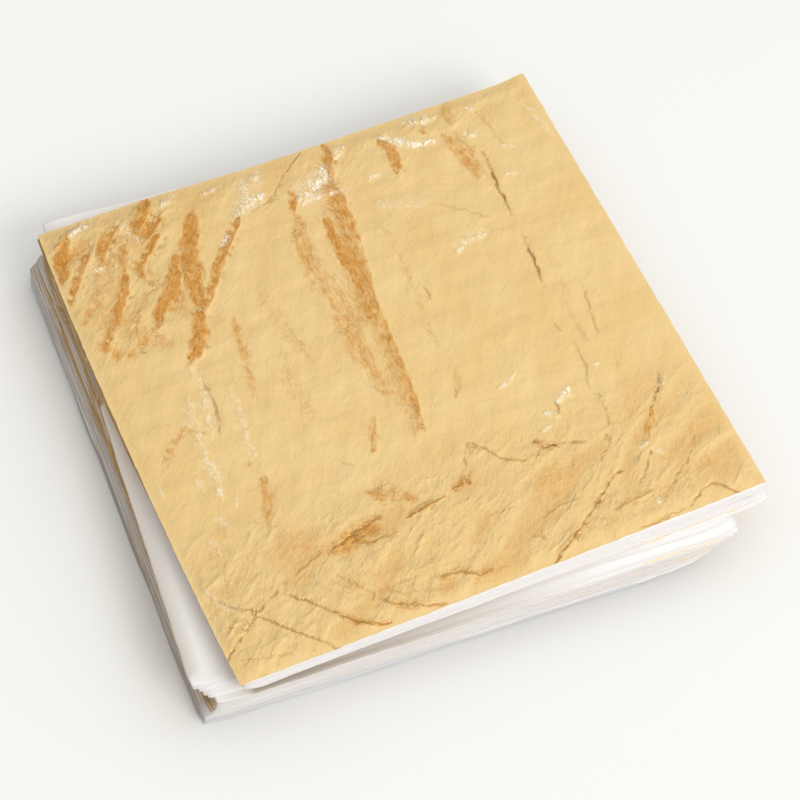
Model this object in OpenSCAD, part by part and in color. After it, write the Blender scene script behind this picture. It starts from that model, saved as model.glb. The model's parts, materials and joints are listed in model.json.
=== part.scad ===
// Loose stack of square metal leaf with thin tissue between the leaves, on a base of plain paper.
// Nothing binds the sheets: they lie in five bundles that have slipped and turned against each other.
// X runs along the front edge of the top leaf, Y runs back from it and Z is up.
// The origin is on the table, straight below the middle of the top leaf.

/* [Sheets] */
// Side of a square metal leaf
leaf_side = 140; // [60:0.5:170]
// How far a tissue stands past the leaf on each of its four sides
tissue_margin = 0; // [0:0.1:5]
// How much narrower, left to right, the base, lower and middle sheets are trimmed
width_trim = 2.5; // [0:0.1:10]
// How much shorter each side of a small base paper is than a leaf's
small_paper_trim = 7; // [1:0.1:20]
// Thickness of a metal leaf with its wrinkles
leaf_t = 0.05; // [0.03:0.005:0.1]
// Thickness of a tissue with its wrinkles
tissue_t = 0.1; // [0.06:0.01:0.2]
// Thickness of a base paper
paper_t = 0.15; // [0.1:0.01:0.25]
// Air left between a leaf and the tissue next to it
leaf_air = 0.008; // [0.006:0.001:0.03]
// Air left on top of each base paper
paper_air = 0.05; // [0.03:0.01:0.1]

/* [Counts] */
// Small base papers
small_papers = 5; // [1:1:12]
// Other base papers, with the one that lies on the table and the one that carries the leaves
wide_papers = 15; // [4:1:30]
// Pairs of a leaf and a tissue in the lower bundle
lower_pairs = 27; // [10:1:60]
// Pairs of a leaf and a tissue in the middle bundle
middle_pairs = 34; // [10:1:60]
// Pairs of a leaf and a tissue in the ledge bundle
ledge_pairs = 6; // [4:1:20]
// Pairs of a leaf and a tissue in the upper bundle
upper_pairs = 14; // [8:1:40]
// Pairs of a leaf and a tissue in the top bundle, under the top leaf
top_pairs = 18; // [12:1:40]

/* [Base papers] */
// How far right of the top leaf's front left corner the lowest paper's corner lies
base_slip_x = -9.9; // [-15:0.1:15]
// How far behind the top leaf's front left corner the lowest paper's corner lies
base_slip_y = 2.8; // [-15:0.1:15]
// How much further right the highest paper's corner lies than the lowest one's
base_drift_x = 0.6; // [-5:0.1:5]
// How much further back the highest paper's corner lies than the lowest one's
base_drift_y = -0.5; // [-5:0.1:5]
// Anticlockwise turn of the lowest paper, in degrees
base_yaw = -2.2; // [-6:0.05:6]
// Further turn from the lowest paper to the highest one
base_twist = 0; // [-3:0.05:3]
// How far right of the top leaf's front left corner the small papers' corner lies
small_slip_x = -9.4; // [-15:0.1:15]
// How far behind the top leaf's front left corner the small papers' corner lies
small_slip_y = 2.6; // [-15:0.1:15]
// Anticlockwise turn of the small papers, in degrees
small_yaw = -4.5; // [-6:0.05:6]

/* [Lower bundle] */
// How far right of the top leaf's front left corner this bundle's lowest corner lies
lower_slip_x = -9.2; // [-15:0.1:15]
// How far behind the top leaf's front left corner this bundle's lowest corner lies
lower_slip_y = 2.3; // [-15:0.1:15]
// How much further right the highest sheet's corner lies than the lowest one's
lower_drift_x = 2.3; // [-5:0.1:5]
// How much further back the highest sheet's corner lies than the lowest one's
lower_drift_y = -1; // [-5:0.1:5]
// Anticlockwise turn of the lowest sheet, in degrees
lower_yaw = -2.1; // [-6:0.05:6]
// Further turn from the lowest sheet to the highest one
lower_twist = 0.2; // [-3:0.05:3]

/* [Middle bundle] */
// How far right of the top leaf's front left corner this bundle's lowest corner lies
middle_slip_x = -6.8; // [-15:0.1:15]
// How far behind the top leaf's front left corner this bundle's lowest corner lies
middle_slip_y = 1.3; // [-15:0.1:15]
// How much further right the highest sheet's corner lies than the lowest one's
middle_drift_x = 0.7; // [-5:0.1:5]
// How much further back the highest sheet's corner lies than the lowest one's
middle_drift_y = -0.7; // [-5:0.1:5]
// Anticlockwise turn of the lowest sheet, in degrees
middle_yaw = -2; // [-6:0.05:6]
// Further turn from the lowest sheet to the highest one
middle_twist = -1.2; // [-3:0.05:3]

/* [Ledge bundle] */
// How far right of the top leaf's front left corner this bundle's lowest corner lies
ledge_slip_x = -7.5; // [-15:0.1:15]
// How far behind the top leaf's front left corner this bundle's lowest corner lies
ledge_slip_y = 2.1; // [-15:0.1:15]
// How much further right the highest sheet's corner lies than the lowest one's
ledge_drift_x = -3; // [-5:0.1:5]
// How much further back the highest sheet's corner lies than the lowest one's
ledge_drift_y = 4.3; // [-5:0.1:5]
// Anticlockwise turn of the lowest sheet, in degrees
ledge_yaw = -4.6; // [-6:0.05:6]
// Further turn from the lowest sheet to the highest one
ledge_twist = -0.65; // [-3:0.05:3]

/* [Upper bundle] */
// How far right of the top leaf's front left corner this bundle's lowest corner lies
upper_slip_x = 1.4; // [-15:0.1:15]
// How far behind the top leaf's front left corner this bundle's lowest corner lies
upper_slip_y = -0.9; // [-15:0.1:15]
// How much further right the highest sheet's corner lies than the lowest one's
upper_drift_x = -0.6; // [-5:0.1:5]
// How much further back the highest sheet's corner lies than the lowest one's
upper_drift_y = 0.4; // [-5:0.1:5]
// Anticlockwise turn of the lowest sheet, in degrees
upper_yaw = -0.5; // [-6:0.05:6]
// Further turn from the lowest sheet to the highest one
upper_twist = 0.2; // [-3:0.05:3]

/* [Top bundle] */
// How far right of the top leaf's front left corner this bundle's lowest corner lies
top_slip_x = 0.3; // [-15:0.1:15]
// How far behind the top leaf's front left corner this bundle's lowest corner lies
top_slip_y = -0.1; // [-15:0.1:15]
// Anticlockwise turn of the lowest sheet, in degrees
top_yaw = -0.1; // [-6:0.05:6]

/* [Stray] */
// Most that a single sheet strays sideways from its bundle
stray_slip = 0.3; // [0:0.05:1]
// Most that a single sheet turns away from its bundle, in degrees
stray_yaw = 0.2; // [0:0.05:1]

/* [Hidden] */

GOLD = [0.93, 0.79, 0.5];
TISSUE_WHITE = [0.95, 0.93, 0.92];
PAPER_GREY = [0.84, 0.87, 0.91];

// Heights of one base paper and of one pair, each with its air
paper_pitch = paper_t + paper_air;
pair_pitch = leaf_t + tissue_t + 2 * leaf_air;

// Heights of the underside of each bundle
papers = small_papers + wide_papers;
lower_z = papers * paper_pitch;
middle_z = lower_z + lower_pairs * pair_pitch;
ledge_z = middle_z + middle_pairs * pair_pitch;
upper_z = ledge_z + ledge_pairs * pair_pitch;
top_z = upper_z + upper_pairs * pair_pitch;
top_leaf_z = top_z + top_pairs * pair_pitch;

// Sides that follow from the leaf
trimmed_width = leaf_side - width_trim;
small_paper_side = leaf_side - small_paper_trim;

// The top leaf's front left corner, which every slip is counted from
home = -leaf_side / 2;

// Each bundle: seed, pairs, underside, trimmed or not, slip, drift, turn and twist
LOWER = [2, lower_pairs, lower_z, true, [lower_slip_x, lower_slip_y],
    [lower_drift_x, lower_drift_y], lower_yaw, lower_twist];
MIDDLE = [3, middle_pairs, middle_z, true, [middle_slip_x, middle_slip_y],
    [middle_drift_x, middle_drift_y], middle_yaw, middle_twist];
LEDGE = [4, ledge_pairs, ledge_z, false, [ledge_slip_x, ledge_slip_y],
    [ledge_drift_x, ledge_drift_y], ledge_yaw, ledge_twist];
UPPER = [5, upper_pairs, upper_z, false, [upper_slip_x, upper_slip_y],
    [upper_drift_x, upper_drift_y], upper_yaw, upper_twist];
TOP = [6, top_pairs, top_z, false, [top_slip_x, top_slip_y],
    [-top_slip_x, -top_slip_y], top_yaw, -top_yaw];
BASE = [1, papers, 0, false, [base_slip_x, base_slip_y],
    [base_drift_x, base_drift_y], base_yaw, base_twist];

// The two highest pairs of the top bundle come off sheet by sheet
LOOSE_PAIRS = 2;
top_last = top_pairs - LOOSE_PAIRS - 1;

// Kinds of sheet, which stray apart from each other
LEAF = 0;
TISSUE = 1;
SMALL_PAPER = 0;
WIDE_PAPER = 1;

// Room between the random seeds of two bundles and of two pairs
BUNDLE_SEEDS = 1000;
PAIR_SEEDS = 10;

// Fields of a bundle
function seed(bundle) = bundle[0];
function pairs(bundle) = bundle[1];
function underside(bundle) = bundle[2];
function trimmed(bundle) = bundle[3];
function slip(bundle) = bundle[4];
function drift(bundle) = bundle[5];
function turn(bundle) = bundle[6];
function twist(bundle) = bundle[7];

// A bundle's sheets turn least near its bottom and its top
function ease(u) = u * u * (3 - 2 * u);
function share(bundle, i) = ease(i / (pairs(bundle) - 1));

// Stray of one sheet: right, back and turn, each from -1 to 1
function stray(bundle, i, kind) =
    rands(-1, 1, 3, BUNDLE_SEEDS * seed(bundle) + PAIR_SEEDS * i + kind);
function stray_shift(bundle, i, kind) =
    stray_slip * [stray(bundle, i, kind)[0], stray(bundle, i, kind)[1]];
function stray_turn(bundle, i, kind) = stray_yaw * stray(bundle, i, kind)[2];

// Where one sheet of a bundle lies
function corner(bundle, i, kind) =
    [home, home] + slip(bundle) + share(bundle, i) * drift(bundle) + stray_shift(bundle, i, kind);
function yaw(bundle, i, kind) =
    turn(bundle) + share(bundle, i) * twist(bundle) + stray_turn(bundle, i, kind);
function pair_z(bundle, i) = underside(bundle) + i * pair_pitch;
function leaf_size(bundle) = [trimmed(bundle) ? trimmed_width : leaf_side, leaf_side];

// First sheet of each third or half of a bundle, above its lowest pair
function third(bundle, k) = 1 + floor((pairs(bundle) - 1) * k / 3);
function half(last) = 1 + floor(last / 2);

module sheet(at, angle, z, size, thick, margin = 0) {
    translate([at[0], at[1], z])
        rotate([0, 0, angle])
            translate([-margin, -margin, 0])
                cube([size[0] + 2 * margin, size[1] + 2 * margin, thick]);
}

module leaf(bundle, i) {
    color(GOLD)
        sheet(corner(bundle, i, LEAF), yaw(bundle, i, LEAF), pair_z(bundle, i),
            leaf_size(bundle), leaf_t);
}

module tissue(bundle, i) {
    color(TISSUE_WHITE)
        sheet(corner(bundle, i, TISSUE), yaw(bundle, i, TISSUE),
            pair_z(bundle, i) + leaf_t + leaf_air, leaf_size(bundle), tissue_t, tissue_margin);
}

module leaves(bundle, first, last) {
    for (i = [first : last])
        leaf(bundle, i);
}

module tissues(bundle, first, last) {
    for (i = [first : last])
        tissue(bundle, i);
}

module paper(i) {
    color(PAPER_GREY)
        sheet(corner(BASE, i, WIDE_PAPER), yaw(BASE, i, WIDE_PAPER), i * paper_pitch,
            [trimmed_width, leaf_side], paper_t);
}

module small_paper(i) {
    color(PAPER_GREY)
        sheet([home + small_slip_x, home + small_slip_y] + stray_shift(BASE, i, SMALL_PAPER),
            small_yaw + stray_turn(BASE, i, SMALL_PAPER), i * paper_pitch,
            [small_paper_side, small_paper_side], paper_t);
}

// Base: the lowest paper, then the small ones, then the rest
module base_sheet() {
    paper(0);
}
module small_papers_stack() {
    for (i = [1 : small_papers])
        small_paper(i);
}
module base_papers() {
    for (i = [small_papers + 1 : papers - 2])
        paper(i);
}
module base_cover_paper() {
    paper(papers - 1);
}

// Lower bundle
module lower_slip_leaf() {
    leaf(LOWER, 0);
}
module lower_slip_tissue() {
    tissue(LOWER, 0);
}
module lower_leaves_a() {
    leaves(LOWER, third(LOWER, 0), third(LOWER, 1) - 1);
}
module lower_tissues_a() {
    tissues(LOWER, third(LOWER, 0), third(LOWER, 1) - 1);
}
module lower_leaves_b() {
    leaves(LOWER, third(LOWER, 1), third(LOWER, 2) - 1);
}
module lower_tissues_b() {
    tissues(LOWER, third(LOWER, 1), third(LOWER, 2) - 1);
}
module lower_leaves_c() {
    leaves(LOWER, third(LOWER, 2), lower_pairs - 1);
}
module lower_tissues_c() {
    tissues(LOWER, third(LOWER, 2), lower_pairs - 1);
}

// Middle bundle
module middle_slip_leaf() {
    leaf(MIDDLE, 0);
}
module middle_slip_tissue() {
    tissue(MIDDLE, 0);
}
module middle_leaves_a() {
    leaves(MIDDLE, third(MIDDLE, 0), third(MIDDLE, 1) - 1);
}
module middle_tissues_a() {
    tissues(MIDDLE, third(MIDDLE, 0), third(MIDDLE, 1) - 1);
}
module middle_leaves_b() {
    leaves(MIDDLE, third(MIDDLE, 1), third(MIDDLE, 2) - 1);
}
module middle_tissues_b() {
    tissues(MIDDLE, third(MIDDLE, 1), third(MIDDLE, 2) - 1);
}
module middle_leaves_c() {
    leaves(MIDDLE, third(MIDDLE, 2), middle_pairs - 1);
}
module middle_tissues_c() {
    tissues(MIDDLE, third(MIDDLE, 2), middle_pairs - 2);
}
module middle_cover_tissue() {
    tissue(MIDDLE, middle_pairs - 1);
}

// Ledge bundle, whose cover tissue stands out to the left
module ledge_slip_leaf() {
    leaf(LEDGE, 0);
}
module ledge_slip_tissue() {
    tissue(LEDGE, 0);
}
module ledge_leaves() {
    leaves(LEDGE, 1, ledge_pairs - 1);
}
module ledge_tissues() {
    tissues(LEDGE, 1, ledge_pairs - 2);
}
module ledge_cover_tissue() {
    tissue(LEDGE, ledge_pairs - 1);
}

// Upper bundle
module upper_slip_leaf() {
    leaf(UPPER, 0);
}
module upper_slip_tissue() {
    tissue(UPPER, 0);
}
module upper_leaves_a() {
    leaves(UPPER, 1, half(upper_pairs - 1) - 1);
}
module upper_tissues_a() {
    tissues(UPPER, 1, half(upper_pairs - 1) - 1);
}
module upper_leaves_b() {
    leaves(UPPER, half(upper_pairs - 1), upper_pairs - 1);
}
module upper_tissues_b() {
    tissues(UPPER, half(upper_pairs - 1), upper_pairs - 2);
}
module upper_cover_tissue() {
    tissue(UPPER, upper_pairs - 1);
}

// Top bundle, with the sheets that come off one by one
module top_slip_leaf() {
    leaf(TOP, 0);
}
module top_slip_tissue() {
    tissue(TOP, 0);
}
module top_leaves_a() {
    leaves(TOP, 1, half(top_last) - 1);
}
module top_tissues_a() {
    tissues(TOP, 1, half(top_last) - 1);
}
module top_leaves_b() {
    leaves(TOP, half(top_last), top_last);
}
module top_tissues_b() {
    tissues(TOP, half(top_last), top_last);
}
module third_leaf() {
    leaf(TOP, top_last + 1);
}
module second_tissue() {
    tissue(TOP, top_last + 1);
}
module second_leaf() {
    leaf(TOP, top_last + 2);
}
module top_tissue() {
    tissue(TOP, top_last + 2);
}
module top_leaf() {
    color(GOLD)
        sheet([home, home], 0, top_leaf_z, [leaf_side, leaf_side], leaf_t);
}

base_sheet();
small_papers_stack();
base_papers();
base_cover_paper();
lower_slip_leaf();
lower_slip_tissue();
lower_leaves_a();
lower_tissues_a();
lower_leaves_b();
lower_tissues_b();
lower_leaves_c();
lower_tissues_c();
middle_slip_leaf();
middle_slip_tissue();
middle_leaves_a();
middle_tissues_a();
middle_leaves_b();
middle_tissues_b();
middle_leaves_c();
middle_tissues_c();
middle_cover_tissue();
ledge_slip_leaf();
ledge_slip_tissue();
ledge_leaves();
ledge_tissues();
ledge_cover_tissue();
upper_slip_leaf();
upper_slip_tissue();
upper_leaves_a();
upper_tissues_a();
upper_leaves_b();
upper_tissues_b();
upper_cover_tissue();
top_slip_leaf();
top_slip_tissue();
top_leaves_a();
top_tissues_a();
top_leaves_b();
top_tissues_b();
third_leaf();
second_tissue();
second_leaf();
top_tissue();
top_leaf();
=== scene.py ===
"""Looks of a loose stack of metal leaf and tissue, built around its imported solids.

Lengths are millimetres in the row frame: X along the front edge of the top leaf, Y back from it
and Z up from the table. They become metres when a mesh is made.
"""

import json
import logging
import math
from dataclasses import dataclass, replace
from enum import Enum

import bpy
import numpy as np
from mathutils import Matrix, Vector

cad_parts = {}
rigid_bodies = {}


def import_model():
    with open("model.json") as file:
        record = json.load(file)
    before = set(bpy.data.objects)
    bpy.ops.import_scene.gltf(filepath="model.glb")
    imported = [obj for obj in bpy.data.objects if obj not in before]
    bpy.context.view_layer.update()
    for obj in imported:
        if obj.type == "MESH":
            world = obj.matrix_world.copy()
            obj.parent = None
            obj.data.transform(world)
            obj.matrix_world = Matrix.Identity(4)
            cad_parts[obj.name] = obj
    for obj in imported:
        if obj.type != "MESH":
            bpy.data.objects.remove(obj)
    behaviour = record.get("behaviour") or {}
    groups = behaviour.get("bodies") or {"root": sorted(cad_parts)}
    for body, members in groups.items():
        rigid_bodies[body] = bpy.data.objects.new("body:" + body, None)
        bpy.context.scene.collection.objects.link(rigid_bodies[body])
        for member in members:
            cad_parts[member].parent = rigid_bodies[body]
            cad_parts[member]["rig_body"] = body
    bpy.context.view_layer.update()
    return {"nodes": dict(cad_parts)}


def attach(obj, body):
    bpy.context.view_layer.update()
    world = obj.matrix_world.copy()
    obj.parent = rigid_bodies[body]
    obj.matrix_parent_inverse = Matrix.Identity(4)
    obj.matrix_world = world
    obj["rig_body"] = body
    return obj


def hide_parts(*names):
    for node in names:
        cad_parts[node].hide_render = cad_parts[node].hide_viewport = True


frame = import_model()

MM = 0.001
# Packed points whose heights differ by less than this belong to one face
SAME_LEVEL = 0.002
# How far apart two sheets that are neighbours read one random field, so that they stray alone
SHEET_STRIDE = 977.0
LEAF_STRIDE = 613.0
# The same for the streaks of two creases
CREASE_STRIDE = 41.0
LOG = logging.getLogger("leaf_stack")

Colour = tuple[float, float, float]
Point = tuple[float, float]


class Kind(Enum):
    """What a sheet is made of, by the name of its material slot."""

    LEAF = "metal_leaf"
    TISSUE = "tissue"
    PAPER = "base_paper"


def smooth(share: np.ndarray) -> np.ndarray:
    """Eases a share from 0 to 1.

    Args:
        share: Values, which are held between 0 and 1 first.

    Returns:
        The same values with a level start and a level end.
    """
    held = np.clip(share, 0.0, 1.0)
    return held * held * (3.0 - 2.0 * held)


@dataclass(frozen=True)
class Waves:
    """A smooth random field, made of plane waves of unlike lengths and headings."""

    seed: int
    shortest: float
    longest: float
    count: int = 8

    def at(self, x: np.ndarray, y: np.ndarray | float) -> np.ndarray:
        """Reads the field.

        Args:
            x: First coordinate of each point.
            y: Second coordinate of each point.

        Returns:
            Values about 0 with a spread of 1.
        """
        draw = np.random.default_rng(self.seed)
        heading = draw.uniform(0.0, 2.0 * math.pi, self.count)
        length = np.exp(draw.uniform(math.log(self.shortest), math.log(self.longest), self.count))
        phase = draw.uniform(0.0, 2.0 * math.pi, self.count)
        total = np.zeros(np.broadcast(x, y).shape)
        for turn, span, start in zip(heading, length, phase):
            along = x * math.cos(turn) + y * math.sin(turn)
            total += np.sin(2.0 * math.pi * along / span + start)
        return total * math.sqrt(2.0 / self.count)


class Signal:
    """A socket of a node tree. Python's operators on it add Math nodes."""

    def __init__(self, nodes: "Nodes", socket: bpy.types.NodeSocket | None) -> None:
        """Wraps one socket of one tree, or no socket, for a node that gives nothing."""
        self.nodes = nodes
        self.socket = socket

    def _math(self, operation: str, first: "Signal | float", second: "Signal | float") -> "Signal":
        """Adds one Math node and returns what it gives."""
        return self.nodes.add("ShaderNodeMath", {"operation": operation}, {0: first, 1: second})

    def __add__(self, other: "Signal | float") -> "Signal":
        """The sum."""
        return self._math("ADD", self, other)

    def __sub__(self, other: "Signal | float") -> "Signal":
        """The difference."""
        return self._math("SUBTRACT", self, other)

    def __mul__(self, other: "Signal | float") -> "Signal":
        """The product."""
        return self._math("MULTIPLY", self, other)

    def __radd__(self, other: float) -> "Signal":
        """The sum, with a plain number first."""
        return self._math("ADD", other, self)

    def __rsub__(self, other: float) -> "Signal":
        """The difference, with a plain number first."""
        return self._math("SUBTRACT", other, self)

    def __rmul__(self, other: float) -> "Signal":
        """The product, with a plain number first."""
        return self._math("MULTIPLY", other, self)

    def least(self, other: "Signal | float") -> "Signal":
        """The smaller of the two."""
        return self._math("MINIMUM", self, other)

    def most(self, other: "Signal | float") -> "Signal":
        """The larger of the two."""
        return self._math("MAXIMUM", self, other)


class Nodes:
    """The node tree of a material or a world, to which nodes are added in one way."""

    def __init__(self, tree: bpy.types.NodeTree) -> None:
        """Empties the tree and takes hold of it."""
        self.tree = tree
        tree.nodes.clear()

    def add(self, kind: str, settings: dict, inputs: dict, out: str | int = 0) -> Signal:
        """Adds a node of any type.

        Args:
            kind: The node's type, as Blender names it.
            settings: Its properties, which are set first.
            inputs: The value or the signal for each input, by its name or its number.
            out: Which output is wanted, by its name or its number.

        Returns:
            The wanted output, which is empty for a node that ends the tree.
        """
        node = self.tree.nodes.new(kind)
        for name, value in settings.items():
            setattr(node, name, value)
        for key, value in inputs.items():
            socket = self._find(node.inputs, key)
            if isinstance(value, Signal):
                self.tree.links.new(value.socket, socket)
            elif isinstance(value, tuple) and socket.type == "RGBA":
                socket.default_value = (*value, 1.0)
            else:
                socket.default_value = value
        return Signal(self, self._find(node.outputs, out) if node.outputs else None)

    @staticmethod
    def _find(sockets: bpy.types.bpy_prop_collection, key: str | int) -> bpy.types.NodeSocket:
        """Finds a socket that is in use.

        Args:
            sockets: The inputs or the outputs of a node.
            key: The socket's name, or its number among those in use.

        Returns:
            The socket.
        """
        if isinstance(key, int):
            return [s for s in sockets if s.enabled][key]
        return next(s for s in sockets if s.enabled and s.name == key)

    def millimetres(self) -> Signal:
        """The place of a surface point on its piece, in millimetres."""
        place = self.add("ShaderNodeTexCoord", {}, {}, "Object")
        return self.add("ShaderNodeVectorMath", {"operation": "SCALE"}, {0: place, "Scale": 1.0 / MM})

    def stretched(self, place: Signal, turn: float, scale: tuple[float, float, float]) -> Signal:
        """The place turned about Z by some degrees and then scaled along each axis."""
        turned = self.add("ShaderNodeVectorRotate", {"rotation_type": "Z_AXIS"},
                          {"Vector": place, "Angle": math.radians(turn)})
        return self.add("ShaderNodeVectorMath", {"operation": "MULTIPLY"}, {0: turned, 1: scale})

    def noise(self, place: Signal, span: float, detail: float = 2.0, warp: float = 0.0) -> Signal:
        """Noise from 0 to 1 whose blots are about span across."""
        inputs = {"Vector": place, "Scale": 1.0 / span, "Detail": detail, "Distortion": warp}
        return self.add("ShaderNodeTexNoise", {}, inputs, "Fac")

    def step(self, value: Signal, low: float, high: float) -> Signal:
        """Goes smoothly from 0 to 1 as the value goes from low to high."""
        return self.add("ShaderNodeMapRange", {"interpolation_type": "SMOOTHSTEP"},
                        {"Value": value, "From Min": low, "From Max": high})

    def mix(self, share: Signal, first: "Signal | Colour", second: "Signal | Colour") -> Signal:
        """A colour that goes from the first to the second."""
        return self.add("ShaderNodeMix", {"data_type": "RGBA"},
                        {"Factor": share, "A": first, "B": second}, "Result")

    def painted(self, name: str) -> Signal:
        """A value that the mesh carries at each of its points."""
        return self.add("ShaderNodeAttribute", {"attribute_name": name}, {}, "Fac")

    def bump(self, height: Signal, depth: float) -> Signal:
        """A normal from a height between 0 and 1 that stands for a depth in millimetres."""
        inputs = {"Height": height, "Distance": depth * MM, "Strength": 1.0}
        return self.add("ShaderNodeBump", {}, inputs, "Normal")

    def surface(self, inputs: dict) -> None:
        """Ends the tree in a Principled shader with these inputs."""
        self.end("ShaderNodeOutputMaterial", self.add("ShaderNodeBsdfPrincipled", {}, inputs))

    def end(self, kind: str, shader: Signal) -> None:
        """Ends the tree in this shader, by an output node of this type."""
        self.add(kind, {}, {"Surface": shader})


def new_material(name: str) -> tuple[bpy.types.Material, Nodes]:
    """Makes an empty material.

    Args:
        name: Its name.

    Returns:
        The material and its tree.
    """
    material = bpy.data.materials.new(name)
    material.use_nodes = True
    return material, Nodes(material.node_tree)


@dataclass(frozen=True)
class CreasedMetal:
    """The top leaf: pale metal with painted orange and brown shade in its creases and painted cream glints,
    where its mesh says so.
    """

    name: str = "creased_metal_leaf"
    plain: Colour = (0.825, 0.58, 0.25)
    light: Colour = (0.885, 0.65, 0.315)
    warm: Colour = (0.74, 0.36, 0.085)
    deep: Colour = (0.60, 0.255, 0.045)
    brown: Colour = (0.45, 0.25, 0.08)
    cream: Colour = (1.0, 0.95, 0.78)
    tan: Colour = (0.60, 0.365, 0.115)
    tan_share: float = 0.28
    roughness: float = 0.31
    dark_roughness: float = 0.14
    grain_depth: float = 0.17
    crinkle_depth: float = 0.13
    crumple_depth: float = 0.42
    streak_depth: float = 0.17
    line_depth: float = 0.12

    def _crumple(self, n: Nodes, place: Signal, turn: float, span: float) -> Signal:
        """Sharp ridges as in crushed foil, longer one way than the other."""
        inputs = {"Vector": n.stretched(place, turn, (0.45, 1.0, 1.0)), "Scale": 1.0 / span,
                  "Detail": 5.0, "Roughness": 0.62, "Lacunarity": 2.1, "Offset": 0.9, "Gain": 1.4,
                  "Distortion": 0.3}
        return n.add("ShaderNodeTexNoise", {"noise_type": "RIDGED_MULTIFRACTAL"}, inputs, "Fac")

    def make(self) -> bpy.types.Material:
        """Builds the material.

        Returns:
            A metal whose colour, roughness and fine crinkles follow the painted creases.
        """
        material, n = new_material(self.name)
        place = n.millimetres()
        warm, dark = n.painted("warm"), n.painted("dark")
        pale, crinkle, rough_share = n.painted("pale"), n.painted("crinkle"), n.painted("rough")
        flow = n.add("ShaderNodeCombineXYZ", {}, {"X": n.painted("run") * 0.28, "Y": n.painted("across")})

        grain = n.noise(n.stretched(place, 35.0, (1.0, 0.6, 1.0)), 1.3, 4.0, 0.8)
        mottled = n.noise(place, 16.0, 3.0)
        streaks = n.noise(flow, 0.75, 3.0, 0.6)
        feathered = streaks * 0.6 + grain * 0.4 - 0.5
        specks = n.noise(n.stretched(place, -12.0, (1.0, 0.5, 1.0)), 0.9, 2.0, 1.2)
        crumple = self._crumple(n, place, -32.0, 10.0) * 0.5
        fold = n.painted("fold") + (grain - 0.5) * 0.8
        line = n.step(fold * fold, 0.22, 0.01)

        colour = n.mix(n.step(mottled * 0.7 + grain * 0.3, 0.3, 0.7), self.plain, self.light)
        tanned = rough_share * n.step(mottled * 0.5 + grain * 0.5, 0.36, 0.62)
        colour = n.mix(tanned * self.tan_share, colour, self.tan)
        # Painted shade: orange in the creases and crumples, standing in for light that the folds bounce
        # between them
        orange = n.step(warm + feathered * 1.1, 0.16, 0.84) * (0.66 + 0.34 * n.step(specks, 0.40, 0.6))
        orange = orange + n.step(crumple, 0.42, 0.12) * (rough_share * 0.3)
        colour = n.mix(orange.least(1.0), colour, n.mix(n.step(streaks, 0.35, 0.65), self.warm, self.deep))
        # Painted shade: brown along the fold lines
        folded = line.most(n.step(streaks, 0.56, 0.66) * crinkle)
        colour = n.mix((dark * folded).least(1.0), colour, self.brown)
        # Painted highlight: cream glints on ridges and along the rims
        colour = n.mix((pale * n.step(specks, 0.44, 0.56)).least(1.0), colour, self.cream)

        relief = grain * (0.6 + 0.8 * rough_share) * self.grain_depth
        relief = relief + crumple * (rough_share * self.crumple_depth) - line * dark * self.line_depth
        relief = relief + (streaks * self.streak_depth + specks * self.crinkle_depth) * crinkle
        rough = self.roughness + 0.1 * (grain - 0.5) + self.dark_roughness * dark
        n.surface({
            "Base Color": colour, "Metallic": 1.0, "Roughness": rough, "Normal": n.bump(relief, 1.0),
        })
        return material


@dataclass(frozen=True)
class PlainMetal:
    """The other leaves: the same metal, which changes a little from sheet to sheet."""

    name: str = "metal_leaf"
    plain: Colour = (0.87, 0.61, 0.28)
    orange: Colour = (0.80, 0.46, 0.15)
    roughness: float = 0.50
    crease_depth: float = 0.14

    def make(self) -> bpy.types.Material:
        """Builds the material.

        Returns:
            A metal with soft random creases all over.
        """
        material, n = new_material(self.name)
        place = n.millimetres()
        fine = n.noise(n.stretched(place, 25.0, (1.0, 0.4, 1.0)), 1.2, 3.0)
        folds = n.noise(n.stretched(place, -15.0, (1.0, 0.3, 1.0)), 14.0, 3.0, 1.5)
        ridge = 1.0 - n.step((folds - 0.5) * (folds - 0.5) * 400.0, 0.0, 0.5)
        warm = n.painted("tint") * 0.6 + ridge * 0.35
        n.surface({
            "Base Color": n.mix(warm.least(1.0), self.plain, self.orange), "Metallic": 1.0,
            "Roughness": self.roughness + 0.1 * fine,
            "Normal": n.bump(fine * 0.3 + ridge * 0.7, self.crease_depth),
        })
        return material


@dataclass(frozen=True)
class SoftPaper:
    """Tissue or paper: matt, faintly cloudy and fibrous, and not quite alike from sheet to sheet."""

    name: str
    warm: Colour
    cool: Colour
    cloud_span: float
    fibre_depth: float
    see_through: float
    stain_and_shade: Colour = (0.47, 0.40, 0.325)
    fibre: Colour = (0.55, 0.52, 0.5)
    fibre_share: float = 0.06

    def make(self) -> bpy.types.Material:
        """Builds the material.

        Returns:
            A matt material with clouds, fibres and soft cockles.
        """
        material, n = new_material(self.name)
        place = n.millimetres()
        clouds = n.noise(place, self.cloud_span, 4.0)
        fibres = n.noise(n.stretched(place, 70.0, (1.0, 0.2, 1.0)), 0.8, 4.0, 0.6)
        cockles = n.noise(n.stretched(place, 10.0, (1.0, 0.5, 1.0)), 9.0, 2.0, 0.8)
        share = n.painted("tint") * 0.7 + clouds * 0.3
        colour = n.mix(share.least(1.0), self.warm, self.cool)
        # Mixes in brown for the stained left edges and for painted shade in the hollow and under the
        # overhang
        colour = n.mix(n.painted("stain_and_shade"), colour, self.stain_and_shade)
        n.surface({
            "Base Color": n.mix(n.step(fibres, 0.25, 0.75) * self.fibre_share, colour, self.fibre),
            "Roughness": 0.68 + 0.16 * fibres, "Specular IOR Level": 0.25,
            "Subsurface Weight": self.see_through, "Subsurface Scale": 0.5 * MM,
            "Normal": n.bump(fibres * 0.25 + cockles * 0.75, self.fibre_depth),
        })
        return material


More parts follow.
